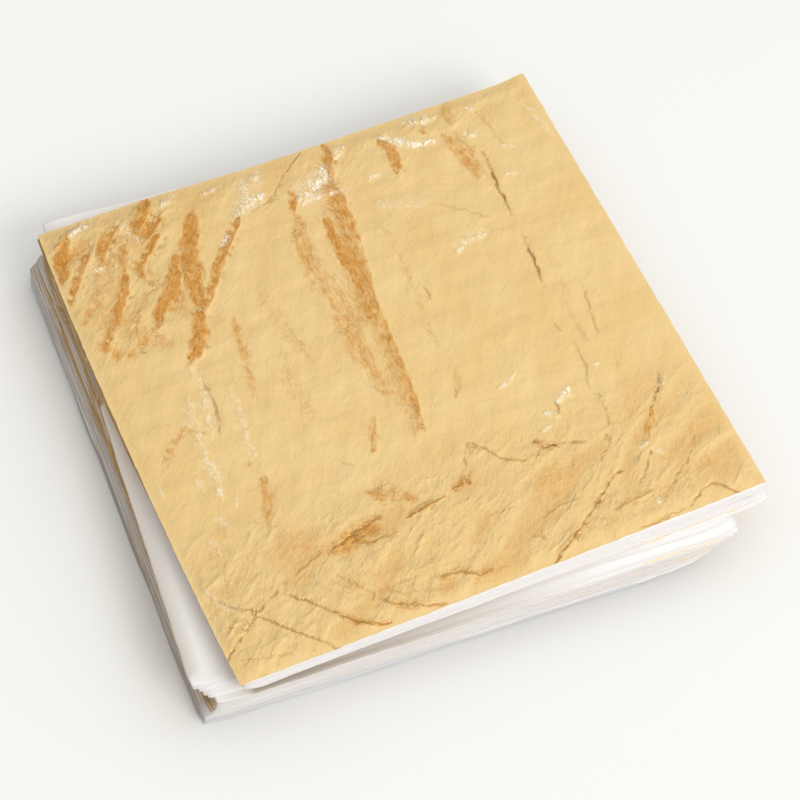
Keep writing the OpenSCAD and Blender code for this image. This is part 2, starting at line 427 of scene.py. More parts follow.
@dataclass(frozen=True)
class Sheet:
    """One packed sheet: a thin flat box, turned a little about Z."""

    node: str
    kind: Kind
    corner: np.ndarray
    turn: float
    width: float
    length: float
    low: float
    high: float

    def place(self, s: np.ndarray, t: np.ndarray) -> tuple[np.ndarray, np.ndarray]:
        """Where points of the sheet lie in the row frame.

        Args:
            s: Distance right of the front left corner, along the front edge.
            t: Distance back from that corner, along the left edge.

        Returns:
            X and Y of each point.
        """
        c, d = math.cos(self.turn), math.sin(self.turn)
        return self.corner[0] + s * c - t * d, self.corner[1] + s * d + t * c


def read_sheets(node: str) -> list[Sheet]:
    """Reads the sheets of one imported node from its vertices.

    Args:
        node: The node's name.

    Returns:
        Its sheets, the lowest first.
    """
    mesh = frame["nodes"][node].data
    flat = np.zeros(len(mesh.vertices) * 3)
    mesh.vertices.foreach_get("co", flat)
    points = flat.reshape(-1, 3) / MM
    kind = Kind(mesh.materials[0].name.split(".")[0])
    levels = np.unique(np.round(points[:, 2], 3))
    sheets = []
    for low, high in zip(levels[0::2], levels[1::2]):
        here = points[np.abs(points[:, 2] - low) < SAME_LEVEL][:, :2]
        front_left = here[np.argmin(here[:, 0] + here[:, 1])]
        front_right = here[np.argmax(here[:, 0] - here[:, 1])]
        back_left = here[np.argmin(here[:, 0] - here[:, 1])]
        along, back = front_right - front_left, back_left - front_left
        sheets.append(Sheet(node, kind, front_left, math.atan2(along[1], along[0]),
                            float(np.hypot(*along)), float(np.hypot(*back)), float(low), float(high)))
    return sheets


def join_loops(outer: np.ndarray, inner: np.ndarray) -> list[np.ndarray]:
    """Fills the band between two closed loops of points.

    Args:
        outer: Point numbers of the outer loop, anticlockwise.
        inner: Those of the inner loop, as many or a whole fraction as many.

    Returns:
        Arrays of quads or triangles, anticlockwise.
    """
    many, few = len(outer), len(inner)
    step = many // few
    following = np.roll(inner, -1)
    if step == 1:
        return [np.stack([outer, np.roll(outer, -1), following, inner], 1)]
    half = step // 2
    fine = np.stack([np.roll(outer, -j)[::step] for j in range(step + 1)])
    faces = [np.stack([fine[j], fine[j + 1], inner if j < half else following], 1) for j in range(step)]
    faces.append(np.stack([fine[half], following, inner], 1))
    return faces


@dataclass(frozen=True)
class Layout:
    """How the points of one face of a sheet are spread: rings along its edge, then a grid."""

    per_side: int
    insets: tuple[float, ...]
    grid_inset: float
    cells: int

    def points(self, width: float, length: float) -> tuple[np.ndarray, np.ndarray]:
        """Spreads the points over a sheet.

        Args:
            width: The sheet's size along its front edge.
            length: Its size along its left edge.

        Returns:
            Distance right and distance back of each point.
        """
        share = np.arange(self.per_side) / self.per_side
        one, none = np.ones(self.per_side), np.zeros(self.per_side)
        s_parts, t_parts = [], []
        for inset in self.insets:
            wide, long = width - 2 * inset, length - 2 * inset
            s_parts.append(inset + wide * np.concatenate([share, one, 1 - share, none]))
            t_parts.append(inset + long * np.concatenate([none, share, one, 1 - share]))
        line = np.linspace(0.0, 1.0, self.cells + 1)
        t_grid, s_grid = np.meshgrid(line, line, indexing="ij")
        s_parts.append(self.grid_inset + (width - 2 * self.grid_inset) * s_grid.ravel())
        t_parts.append(self.grid_inset + (length - 2 * self.grid_inset) * t_grid.ravel())
        return np.concatenate(s_parts), np.concatenate(t_parts)

    def _loops(self) -> list[np.ndarray]:
        """Lists the rings and the grid's own rim.

        Returns:
            Point numbers of each closed loop, from the outside in.
        """
        ring = 4 * self.per_side
        loops = [np.arange(ring) + i * ring for i in range(len(self.insets))]
        row = self.cells + 1
        grid = len(self.insets) * ring + np.arange(row * row).reshape(row, row)
        loops.append(np.concatenate([grid[0, :-1], grid[:-1, -1], grid[-1, :0:-1], grid[:0:-1, 0]]))
        return loops

    def rim(self) -> np.ndarray:
        """Numbers of the outermost points, anticlockwise from the front left corner."""
        return self._loops()[0]

    def faces(self) -> list[np.ndarray]:
        """Joins the points.

        Returns:
            Arrays of faces by point number, anticlockwise seen from above.
        """
        loops = self._loops()
        faces = [f for outer, inner in zip(loops, loops[1:]) for f in join_loops(outer, inner)]
        row = self.cells + 1
        grid = len(self.insets) * 4 * self.per_side + np.arange(row * row).reshape(row, row)
        corners = (grid[:-1, :-1], grid[:-1, 1:], grid[1:, 1:], grid[1:, :-1])
        faces.append(np.stack([c.ravel() for c in corners], 1))
        return faces


HIDDEN = Layout(per_side=72, insets=(0.0, 3.0, 8.0), grid_inset=13.0, cells=12)
SHOWN = Layout(per_side=120, insets=(0.0, 0.6), grid_inset=2.0, cells=60)


class MeshParts:
    """Points, faces and painted values that grow sheet by sheet into one mesh."""

    def __init__(self) -> None:
        """Starts with nothing."""
        self.points: list[np.ndarray] = []
        self.faces: list[tuple[np.ndarray, bool]] = []
        self.paint: dict[str, list[np.ndarray]] = {}
        self.count = 0

    def add_sheet(self, top: np.ndarray, bottom: np.ndarray, top_layout: Layout,
                  bottom_layout: Layout, paint: dict[str, np.ndarray]) -> None:
        """Adds a closed thin sheet.

        Args:
            top: Points of its upper face.
            bottom: Points of its lower face.
            top_layout: How the upper points are spread.
            bottom_layout: How the lower points are spread, no finer at the rim than the upper.
            paint: Painted values for the upper points and then the lower ones.
        """
        upper, lower = self.count, self.count + len(top)
        self.faces += [(f + upper, True) for f in top_layout.faces()]
        self.faces += [(f[:, ::-1] + lower, True) for f in bottom_layout.faces()]
        wall = join_loops(top_layout.rim() + upper, bottom_layout.rim() + lower)
        self.faces += [(f[:, ::-1], False) for f in wall]
        self.points += [top, bottom]
        for name, values in paint.items():
            self.paint.setdefault(name, []).append(values)
        self.count += len(top) + len(bottom)

    def make(self, name: str, material: bpy.types.Material) -> bpy.types.Object:
        """Turns what was gathered into an object.

        Args:
            name: The object's name.
            material: Its material.

        Returns:
            The object, linked to the scene.
        """
        mesh = bpy.data.meshes.new(name)
        points = np.concatenate(self.points) * MM
        mesh.from_pydata(points.tolist(), [], [f for block, _ in self.faces for f in block.tolist()])
        soft = np.concatenate([np.full(len(block), smooth_shaded) for block, smooth_shaded in self.faces])
        mesh.polygons.foreach_set("use_smooth", soft)
        for title, values in self.paint.items():
            attribute = mesh.attributes.new(title, "FLOAT", "POINT")
            attribute.data.foreach_set("value", np.concatenate(values).astype(np.float32))
        mesh.materials.append(material)
        mesh.update()
        piece = bpy.data.objects.new(name, mesh)
        bpy.context.scene.collection.objects.link(piece)
        return piece


def settle(piece: bpy.types.Object, node: str) -> None:
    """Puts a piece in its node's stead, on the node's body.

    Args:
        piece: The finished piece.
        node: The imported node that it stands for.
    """
    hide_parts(node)
    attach(piece, frame["nodes"][node]["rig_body"])
    LOG.info("%s: %d faces", piece.name, len(piece.data.polygons))


@dataclass(frozen=True)
class CornerCurl:
    """A corner that all the sheets over it bend up together."""

    x: float = -70.0
    y: float = -70.0
    rise: float = 0.20
    reach: float = 34.0

    def at(self, x: np.ndarray, y: np.ndarray) -> np.ndarray:
        """How far a point of a sheet is bent up."""
        far = np.hypot(x - self.x, y - self.y)
        return self.rise * smooth(1.0 - far / self.reach)


@dataclass(frozen=True)
class LeafOutline:
    """The top leaf's outline: a bulging left edge and a back edge that is drawn in."""

    left_bulge: float = 1.8
    back_hollow: float = 1.1
    hollow_start: float = -45.0
    hollow_full: float = -5.0
    hollow_end: float = 60.0
    half: float = 70.0
    reach: float = 30.0

    def moved(self, x: np.ndarray, y: np.ndarray) -> tuple[np.ndarray, np.ndarray]:
        """Moves points near the left and back edges.

        Args:
            x: X of each point.
            y: Y of each point.

        Returns:
            New X and Y.
        """
        along = np.clip(1.0 - (y / (self.half + 3.0)) ** 2, 0.0, 1.0) ** 0.7
        out = self.left_bulge * along * smooth((-self.half + self.reach - x) / self.reach)
        start = smooth((x - self.hollow_start) / (self.hollow_full - self.hollow_start))
        end = smooth((self.half + 1.0 - x) / (self.half + 1.0 - self.hollow_end))
        drawn = self.back_hollow * start * end * smooth((y - self.half + self.reach) / self.reach)
        return x - out, y - drawn


@dataclass(frozen=True)
class Edges:
    """How the cut edges of a bundle's sheets stray from straight.

    Four values in a row stand for the front, right, back and left edge. Positive is outward.

    Attributes:
        seed: Start of the random draws.
        ragged: Waves that neighbouring sheets share.
        stray: Waves of one sheet alone.
        leaf_stray: The same for leaves, on top of it, at the back and the left.
        leaf_out: How far leaves stand out.
        leaf_dashes: Waves of one leaf alone at the front and the right.
        leaf_start: Where along the left edge the leaves come out to their full width.
        leaf_draw: How far they are drawn in before that.
        leaf_draw_reach: Over what length they come out.
        leaf_bands: How much leaves at the left come out in bands of sheets.
        all_out: How far all the sheets stand out.
        round_off: How far a corner's tip is drawn in.
        round_reach: How much of the corner that takes.
        pull_low: Shift of the lowest sheet's front right corner, to the right and back.
        pull_high: The same for the highest sheet.
        crush: How far the front right corner is pressed in.
        crush_reach: How much of the corner that takes.
        fade: How far in from an edge its stray dies out.
        grouping: How quickly the shared waves change from sheet to sheet.
        undercut: Depth of the hollow at the front left.
        undercut_end: Where that hollow ends along the front edge.
        undercut_reach: How far back it goes.
        undercut_top: Up to what share of the bundle's height.
        notch_start: Where the hollow along the left edge starts.
        notch_end: Where it ends.
        notch_slopes: Over what lengths it starts and ends.
        notch_depth: How deep it is.
        notch_leaf: The share of that depth which leaves take.
    """

    seed: int
    ragged: float = 0.06
    stray: float = 0.05
    leaf_stray: float = 0.06
    leaf_out: tuple[float, float, float, float] = (-0.6, -0.3, -0.1, -0.06)
    leaf_dashes: float = 0.10
    leaf_start: float = -100.0
    leaf_draw: float = 0.3
    leaf_draw_reach: float = 50.0
    leaf_bands: float = 0.16
    all_out: tuple[float, float, float, float] = (0.0, 0.0, 0.0, 0.0)
    round_off: float = 0.5
    round_reach: float = 2.5
    pull_low: Point = (0.0, 0.0)
    pull_high: Point = (0.0, 0.0)
    crush: float = 0.0
    crush_reach: float = 7.0
    fade: float = 11.0
    grouping: float = 14.0
    undercut: float = 0.0
    undercut_end: float = 110.0
    undercut_reach: float = 25.0
    undercut_top: float = 0.75
    notch_start: float = 0.0
    notch_end: float = 136.0
    notch_slopes: Point = (1.5, 14.0)
    notch_depth: float = 0.0
    notch_leaf: float = 0.8

    def offset(self, side: int, along: np.ndarray, sheet: Sheet, number: int) -> np.ndarray:
        """How far one edge stands out along its length.

        Args:
            side: 0 front, 1 right, 2 back, 3 left.
            along: Distance along the edge.
            sheet: The sheet.
            number: Its number in the bundle.

        Returns:
            Distance outward at each point.
        """
        first = 10 * self.seed + side
        out = self.ragged * Waves(first, 18.0, 80.0).at(along, sheet.low * self.grouping)
        out = out + self.stray * Waves(first + 5, 5.0, 60.0).at(along, SHEET_STRIDE * number)
        out = out + self.all_out[side]
        if sheet.kind is Kind.LEAF:
            stray = self.leaf_stray if side > 1 else self.leaf_dashes
            out = out + stray * Waves(first + 5000, 6.0, 60.0).at(along, LEAF_STRIDE * number)
            out = out + self.leaf_out[side]
            if side == 3:
                started = smooth((along - self.leaf_start) / self.leaf_draw_reach)
                bands = Waves(first + 77, 0.5, 2.0, 6).at(np.array(sheet.low), along * 0.004)
                out = out - self.leaf_draw * (1.0 - started)
                out = out + self.leaf_bands * bands
        return out

    def recess(self, s: np.ndarray, t: np.ndarray, level: float) -> np.ndarray:
        """How much a point takes part in the hollow at the front left, from 0 to 1.

        Args:
            s: Distance right of each point.
            t: Distance back of each point.
            level: Height of its sheet in the bundle, from 0 to 1.

        Returns:
            The share at each point.
        """
        from_left = smooth(1.0 - s / self.undercut_end)
        from_front = smooth(1.0 - t / self.undercut_reach)
        return max(0.0, 1.0 - level / self.undercut_top) * from_left * from_front

    def moved(self, s: np.ndarray, t: np.ndarray, sheet: Sheet, number: int,
              level: float = 0.0) -> tuple[np.ndarray, np.ndarray]:
        """Moves a sheet's points so that its edges stray.

        Args:
            s: Distance right of each point.
            t: Distance back of each point.
            sheet: The sheet.
            number: Its number in the bundle.
            level: Its height in the bundle, from 0 to 1.

        Returns:
            The new distances right and back.
        """
        right, back = sheet.width - s, sheet.length - t
        new_s = s + smooth(1 - right / self.fade) * self.offset(1, t, sheet, number)
        new_s = new_s - smooth(1 - s / self.fade) * self.offset(3, t, sheet, number)
        new_t = t + smooth(1 - back / self.fade) * self.offset(2, s, sheet, number)
        new_t = new_t - smooth(1 - t / self.fade) * self.offset(0, s, sheet, number)
        for from_s, from_t, toward_s, toward_t in (
                (s, t, 1, 1), (right, t, -1, 1), (right, back, -1, -1), (s, back, 1, -1)):
            near = np.exp(-(from_s ** 2 + from_t ** 2) / self.round_reach ** 2)
            new_s = new_s + toward_s * self.round_off * near
            new_t = new_t + toward_t * self.round_off * near
        corner = (s / sheet.width) * (back / sheet.length)
        new_s = new_s + corner * (self.pull_low[0] + level * (self.pull_high[0] - self.pull_low[0]))
        new_t = new_t + corner * (self.pull_low[1] + level * (self.pull_high[1] - self.pull_low[1]))
        if self.crush:
            near = np.exp(-(right ** 2 + t ** 2) / self.crush_reach ** 2)
            uneven = float(Waves(self.seed + 77, 0.8, 3.0).at(np.array(sheet.low), 0.0))
            depth = self.crush * (0.7 + 0.3 * uneven)
            new_s = new_s - depth * near
            new_t = new_t + 0.6 * depth * near
        if self.undercut:
            new_t = new_t + self.undercut * self.recess(s, t, level)
        if self.notch_depth:
            torn = smooth((t - self.notch_start) / self.notch_slopes[0])
            torn = torn * smooth((self.notch_end - t) / self.notch_slopes[1])
            torn = torn * smooth(1 - s / self.fade)
            new_s = new_s + self.notch_depth * torn * (1.0 if sheet.kind is Kind.TISSUE else self.notch_leaf)
        return new_s, new_t


@dataclass(frozen=True)
class Bundle:
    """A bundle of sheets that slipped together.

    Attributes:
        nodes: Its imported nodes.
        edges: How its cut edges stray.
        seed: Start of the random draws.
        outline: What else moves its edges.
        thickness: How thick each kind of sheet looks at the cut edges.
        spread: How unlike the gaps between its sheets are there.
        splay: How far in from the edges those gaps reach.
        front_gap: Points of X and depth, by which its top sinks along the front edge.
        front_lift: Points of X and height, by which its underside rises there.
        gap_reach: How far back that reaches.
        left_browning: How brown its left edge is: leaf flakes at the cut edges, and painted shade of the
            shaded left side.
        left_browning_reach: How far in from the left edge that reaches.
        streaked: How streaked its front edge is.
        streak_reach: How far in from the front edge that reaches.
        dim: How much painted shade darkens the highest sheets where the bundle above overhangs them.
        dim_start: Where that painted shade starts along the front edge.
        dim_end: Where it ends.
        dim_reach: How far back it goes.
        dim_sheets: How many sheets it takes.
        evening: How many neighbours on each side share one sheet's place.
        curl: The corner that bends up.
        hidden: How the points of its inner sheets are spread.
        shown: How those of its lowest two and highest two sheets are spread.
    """

    nodes: tuple[str, ...]
    edges: Edges
    seed: int
    outline: LeafOutline | None = None
    thickness: tuple[tuple[Kind, float], ...] = (
        (Kind.LEAF, 0.03), (Kind.TISSUE, 0.075), (Kind.PAPER, 0.13))
    spread: float = 1.15
    splay: float = 12.0
    front_gap: tuple[Point, ...] = ()
    front_lift: tuple[Point, ...] = ()
    gap_reach: float = 16.0
    left_browning: float = 0.7
    left_browning_reach: float = 5.0
    streaked: float = 1.0
    streak_reach: float = 8.0
    dim: float = 0.95
    dim_start: float = 0.0
    dim_end: float = 105.0
    dim_reach: float = 18.0
    dim_sheets: int = 0
    evening: int = 0
    curl: CornerCurl | None = None
    hidden: Layout = HIDDEN
    shown: Layout = SHOWN

    def sheets(self) -> list[Sheet]:
        """Reads the bundle's sheets and sets each evenly between its neighbours of its kind.

        Returns:
            The sheets, the lowest first.
        """
        stack = sorted((s for n in self.nodes for s in read_sheets(n)), key=lambda s: s.low)
        for kind in Kind:
            places = [i for i, s in enumerate(stack) if s.kind is kind]
            packed = [stack[i] for i in places]
            for rank, i in enumerate(places):
                reach = min(self.evening, rank, len(places) - 1 - rank)
                near = packed[rank - reach:rank + reach + 1]
                stack[i] = replace(stack[i], corner=np.mean([s.corner for s in near], 0),
                                   turn=float(np.mean([s.turn for s in near])))
        return stack

    def _along_front(self, profile: tuple[Point, ...], x: np.ndarray, y: np.ndarray,
                     front: float) -> np.ndarray:
        """Reads a height from points along the front edge, fading toward the back."""
        places, heights = zip(*profile)
        return np.interp(x, places, heights) * smooth(1 - (y - front) / self.gap_reach)

    def bottom_shift(self, x: np.ndarray, y: np.ndarray, front: float) -> np.ndarray:
        """How far the bundle's underside is lifted."""
        shift = self.curl.at(x, y) if self.curl else np.zeros_like(x)
        return shift + self._along_front(self.front_lift, x, y, front) if self.front_lift else shift

    def top_shift(self, x: np.ndarray, y: np.ndarray, front: float) -> np.ndarray:
        """How far the bundle's upper side is lifted, or sinks along its front edge."""
        shift = self.curl.at(x, y) if self.curl else np.zeros_like(x)
        return shift - self._along_front(self.front_gap, x, y, front) if self.front_gap else shift

    def levels(self, x: np.ndarray, y: np.ndarray, stack: list[Sheet],
               number: int) -> tuple[np.ndarray, np.ndarray]:
        """Where one sheet lies at the cut edges, where the sheets splay and press together.

        Args:
            x: X of each point.
            y: Y of each point.
            stack: The bundle's sheets.
            number: Which of them is wanted.

        Returns:
            Height of its lower and upper face at each point.
        """
        thin = dict(self.thickness)
        thick = np.array([thin[s.kind] for s in stack])
        base, roof = stack[0].low, stack[-1].high
        front = stack[-1].corner[1]
        rise = self.bottom_shift(x, y, front)
        low = base + rise
        slack = roof - base + self.top_shift(x, y, front) - rise - thick.sum()
        weights = np.stack([
            np.exp(self.spread * Waves(1000 * self.seed + j, 22.0, 110.0, 5).at(x, y))
            for j in range(len(stack) - 1)])
        below = weights[:number].sum(0) / weights.sum(0) if number else 0.0
        under = low + thick[:number].sum() + below * slack
        return under, under + thick[number]

    def shape(self, sheet: Sheet, number: int, stack: list[Sheet],
              layout: Layout) -> tuple[np.ndarray, np.ndarray]:
        """Bends one sheet.

        Args:
            sheet: The sheet.
            number: Its number in the bundle.
            stack: All of the bundle's sheets.
            layout: How its points are spread.

        Returns:
            Points of its upper face and of its lower face.
        """
        s, t = layout.points(sheet.width, sheet.length)
        near = np.minimum(np.minimum(s, sheet.width - s), np.minimum(t, sheet.length - t))
        moved_s, moved_t = self.edges.moved(s, t, sheet, number, number / len(stack))
        x, y = sheet.place(moved_s, moved_t)
        if self.outline:
            x, y = self.outline.moved(x, y)
        base, roof = stack[0].low, stack[-1].high
        front = stack[-1].corner[1]
        rise = self.bottom_shift(x, y, front)
        gain = (self.top_shift(x, y, front) - rise) / (roof - base)
        splayed = smooth(1.0 - near / self.splay)
        edge_low, edge_high = self.levels(x, y, stack, number)
        low = sheet.low + rise + gain * (sheet.low - base)
        high = sheet.high + rise + gain * (sheet.high - base)
        low = low + splayed * (edge_low - low)
        high = high + splayed * (edge_high - high)
        return np.stack([x, y, high], 1), np.stack([x, y, low], 1)

    def stain_and_shade(self, s: np.ndarray, t: np.ndarray, number: int, count: int) -> np.ndarray:
        """Works out how browned or streaked one sheet is, and where painted shade darkens it.

        Args:
            s: Distance right of each point.
            t: Distance back of each point.
            number: The sheet's number in the bundle.
            count: How many sheets the bundle has.

        Returns:
            A share from 0 to 1 at each point.
        """
        # Brown along the left edge: leaf flakes at the cut edges, and painted shade of the shaded left side
        fading = smooth(1.0 - s / self.left_browning_reach) * smooth(t / 4.0)
        stain_and_shade = self.left_browning * fading * (0.62 + 0.38 * np.sin(number * 2.4 + t * 0.03))
        streaked = 0.09 * (1.0 + np.sin(number * 1.7 + s * 0.02)) * smooth(1.0 - t / self.streak_reach)
        stain_and_shade = np.maximum(stain_and_shade, self.streaked * streaked)
        # Painted shade in the hollow at the front left, where the sheets are set back under the bundle above
        if self.edges.undercut:
            stain_and_shade = np.maximum(stain_and_shade, 0.75 * np.sqrt(self.edges.recess(s, t * 2.0, number / count)))
        # Painted shade on the highest sheets under the overhang of the bundle above
        if number >= count - self.dim_sheets:
            dim = smooth((s - self.dim_start) / 2.0) * smooth(1.0 - s / self.dim_end)
            dim = dim * smooth(1.0 - t / self.dim_reach)
            stain_and_shade = np.maximum(stain_and_shade, self.dim * np.sqrt(dim))
        return stain_and_shade

    def build(self, finishes: dict[Kind, bpy.types.Material]) -> None:
        """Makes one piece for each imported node.

        Args:
            finishes: The material of each kind of sheet.
        """
        stack = self.sheets()
        parts = {node: MeshParts() for node in self.nodes}
        draw = np.random.default_rng(self.seed)
        tints = 0.5 + 0.3 * Waves(self.seed + 300, 4.0, 30.0).at(np.arange(len(stack)) * 1.0, 0.0)
        tints = np.clip(tints + draw.uniform(-0.25, 0.25, len(stack)), 0.0, 1.0)
        for number, sheet in enumerate(stack):
            in_sight = number < 2 or number > len(stack) - 3
            layout = self.shown if in_sight else self.hidden
            top, bottom = self.shape(sheet, number, stack, layout)
            s, t = layout.points(sheet.width, sheet.length)
            stain_and_shade = self.stain_and_shade(s, t, number, len(stack))
            paint = {"tint": np.full(len(top) + len(bottom), tints[number]),
                     "stain_and_shade": np.concatenate([stain_and_shade, stain_and_shade])}
            parts[sheet.node].add_sheet(top, bottom, layout, layout, paint)
        for node, gathered in parts.items():
            kind = next(s.kind for s in stack if s.node == node)
            settle(gathered.make(f"{node}.sheets", finishes[kind]), node)


class Mark(Enum):
    """What a crease in the top leaf does to its look: warm and dark painted shade, pale painted glint,
    crinkled, and its rise.
    """

    BAND = (0.95, 0.0, 0.0, 0.7, -0.06)
    FAINT = (0.6, 0.0, 0.0, 0.6, -0.05)
    LINE = (0.5, 0.95, 0.0, 0.6, -0.10)
    CRUMPLE = (0.62, 0.8, 0.0, 1.0, 0.05)
    GLINT = (0.0, 0.0, 1.0, 0.7, 0.12)
    STREAK = (0.0, 0.0, 0.6, 0.3, 0.10)


@dataclass(frozen=True)
class Crease:
    """One crease of the top leaf.

    Attributes:
        mark: What it does to the look.
        path: The line that it follows, as X and Y of points.
        width: How wide its mark is on each side of the line.
        strength: How strong its mark is.
        soft_width: If not 0, how wide the mark fades out on the right hand of the line.
    """

    mark: Mark
    path: tuple[Point, ...]
    width: float
    strength: float = 1.0
    soft_width: float = 0.0


BACK_LEFT_CREASES = (
    Crease(Mark.BAND, ((-31, 61), (-34, 54), (-37, 47), (-38.5, 39), (-40, 32)), 1.9),
    Crease(Mark.BAND, ((-40, 32), (-42, 27), (-44, 23), (-48, 18)), 1.5),
    Crease(Mark.BAND, ((-20, 55), (-25, 49.5), (-30, 44), (-34, 38), (-39, 31)), 1.0),
    Crease(Mark.BAND, ((-40, 50), (-42, 44.5), (-45, 40), (-49, 36), (-51, 32)), 1.5),
    Crease(Mark.FAINT, ((-51, 32), (-55, 29), (-60, 26)), 2.0),
    Crease(Mark.BAND, ((-40.5, 70), (-43, 65), (-46, 62)), 1.3),
    Crease(Mark.BAND, ((-39, 63.5), (-42, 60.5), (-45, 58)), 1.0),
    Crease(Mark.BAND, ((-50, 65), (-54, 62), (-56.5, 59), (-58, 55)), 1.1),
    Crease(Mark.BAND, ((-63.5, 67), (-66, 62), (-67, 58), (-68.5, 53)), 1.5),
    Crease(Mark.BAND, ((-60, 59), (-63, 55.5), (-66, 51), (-69, 46)), 0.9, 0.8),
    Crease(Mark.BAND, ((-41, 58), (-46, 54), (-49, 51), (-50, 46)), 0.8),
    Crease(Mark.BAND, ((-50, 59), (-52, 56), (-53, 52)), 1.2, 0.7),
    Crease(Mark.BAND, ((-53, 49.5), (-55, 44), (-58, 40), (-61, 35), (-65, 30)), 0.7, 0.9, 2.2),
    Crease(Mark.FAINT, ((-62, 50), (-64, 44), (-68, 38)), 1.6),
    Crease(Mark.FAINT, ((-47, 50), (-48, 44), (-52, 39), (-57, 33)), 2.6, 0.7),
    Crease(Mark.FAINT, ((-66, 33), (-63, 27), (-57, 25)), 2.2),
    Crease(Mark.FAINT, ((-64, 44), (-60, 36), (-55, 30), (-50, 24)), 5.0, 0.75),
    Crease(Mark.FAINT, ((-52, 52), (-47, 44), (-44, 36), (-41, 28)), 3.6, 0.75),
    Crease(Mark.FAINT, ((-38, 62), (-45, 60), (-56, 62), (-66, 60)), 3.6, 0.7),
    Crease(Mark.FAINT, ((-26, 12), (-27, 0), (-26, -10)), 4.0, 0.55),
    Crease(Mark.FAINT, ((-24, 30), (-22, 20), (-20, 8)), 3.5, 0.6),
    Crease(Mark.FAINT, ((-45, 66), (-50, 60), (-55, 55), (-60, 48), (-66, 40)), 4.0, 0.7),
    Crease(Mark.FAINT, ((-33, 26), (-34.5, 16), (-36, 8), (-37, 2)), 2.2, 0.8),
    Crease(Mark.GLINT, ((-63, 66.5), (-60, 67.5), (-56, 69)), 1.0),
    Crease(Mark.GLINT, ((-60, 54), (-58, 53.3)), 0.7),
    Crease(Mark.GLINT, ((-49.5, 65), (-48, 60), (-46, 57.5)), 0.7, 0.7),
    Crease(Mark.GLINT, ((-38, 66), (-33, 68.5)), 0.9, 0.7),
    Crease(Mark.GLINT, ((-20.5, 56), (-17, 58.5), (-11.5, 60)), 1.7),
    Crease(Mark.GLINT, ((-18, 60), (-14, 65), (-9, 67)), 2.2, 0.45),
    Crease(Mark.GLINT, ((-27.5, 48.5), (-24.5, 50.5)), 0.8, 0.9),
    Crease(Mark.GLINT, ((-27, 66), (-21, 67)), 0.7, 0.5),
    Crease(Mark.LINE, ((-13, 56.5), (-9, 58.5), (-4, 64), (0, 67), (3, 69.5)), 1.0, 0.6),
    Crease(Mark.LINE, ((-16, 55.5), (-11, 57), (-8, 57.2)), 0.6, 0.5),
)

MIDDLE_CREASES = (
    Crease(Mark.BAND, ((8, 54), (7, 42), (5.6, 32), (3.4, 22), (2, 14)), 0.5, 0.85, 7.0),
    Crease(Mark.BAND, ((1.0, 47), (0.2, 38), (0.8, 28), (0.4, 21)), 1.1),
    Crease(Mark.BAND, ((2.8, 18), (1.4, 4), (0.4, -10), (-1.2, -21)), 0.5, 0.66, 5.0),
    Crease(Mark.FAINT, ((-6, 50), (-8, 36), (-7, 20), (-7, 4), (-6, -10)), 4.6, 0.95),
    Crease(Mark.FAINT, ((-14, -2), (-14, -10), (-16, -22)), 2.5, 0.4),
    Crease(Mark.BAND, ((-12, -15), (-14, -19), (-16, -24)), 0.9, 0.6),
    Crease(Mark.BAND, ((-1.5, -17), (-3.5, -20), (-5, -25)), 0.9, 0.45),
    Crease(Mark.FAINT, ((13, -10), (11.5, -15), (9, -18)), 1.3, 0.8),
    Crease(Mark.BAND, ((-4.5, 58), (-5.2, 54), (-6, 51.5)), 0.8),
    Crease(Mark.BAND, ((10, 69.5), (8.5, 63), (7, 57)), 1.1),
    Crease(Mark.GLINT, ((-3, 54.5), (1, 57), (6, 59.5), (7, 63)), 2.5),
    Crease(Mark.GLINT, ((-3, 53), (4, 53.5), (9, 53)), 1.0, 0.6),
    Crease(Mark.GLINT, ((11, 64), (14, 67)), 1.2, 0.9),
    Crease(Mark.GLINT, ((16.5, 53.3), (19.5, 54.5)), 0.8, 0.8),
    Crease(Mark.GLINT, ((15, 45), (20, 42), (27, 41)), 2.2, 0.25),
    Crease(Mark.FAINT, ((14, 38), (14, 28), (13, 18), (12, 6), (11, -4)), 2.0, 0.55),
    Crease(Mark.LINE, ((15.5, 16), (16, 12)), 0.4, 0.45),
)

BACK_RIGHT_CREASES = (
    Crease(Mark.BAND, ((24, 65), (25.8, 60), (25.5, 56), (24, 52)), 1.2),
    Crease(Mark.BAND, ((45, 68), (44.5, 62)), 1.6, 0.55),
    Crease(Mark.BAND, ((41, 60), (41.5, 54), (43, 48), (43.5, 43)), 1.4, 0.65),
    Crease(Mark.FAINT, ((43, 60), (45, 52), (44, 42)), 3.0, 0.7),
    Crease(Mark.BAND, ((34, 66), (37, 62)), 1.0, 0.5),
    Crease(Mark.GLINT, ((25, 66), (28, 62.5), (33, 59.5), (38, 58.6)), 1.3),
    Crease(Mark.GLINT, ((33, 68.5), (37, 66.5), (41, 66.5)), 1.4),
    Crease(Mark.GLINT, ((51.5, 65.5), (52, 64)), 0.8),
    Crease(Mark.GLINT, ((47.5, 58), (48.5, 55.5)), 0.7),
    Crease(Mark.GLINT, ((51, 40.5), (54, 40.2)), 0.7, 0.7),
    Crease(Mark.GLINT, ((54, 50), (57, 48.5)), 0.7, 0.6),
    Crease(Mark.STREAK, ((65, 63), (66.5, 57), (68.5, 47)), 0.8, 0.6),
    Crease(Mark.LINE, ((48.3, 50), (48, 44), (47, 37), (46.8, 28)), 0.45),
    Crease(Mark.LINE, ((46.6, 22), (46, 16), (45.4, 10), (44.6, 4.5)), 0.45, 0.9),
    Crease(Mark.LINE, ((52, 64), (53.5, 58), (54.5, 50)), 0.4, 0.3),
    Crease(Mark.CRUMPLE, ((31, 38), (36, 34), (40, 30)), 5.0, 0.28),
    Crease(Mark.GLINT, ((28, 22.5), (32, 25), (38, 25.5)), 1.1, 0.6),
    Crease(Mark.FAINT, ((48, 20), (50, 8), (48, -6), (47, -16)), 2.6, 0.45),
)

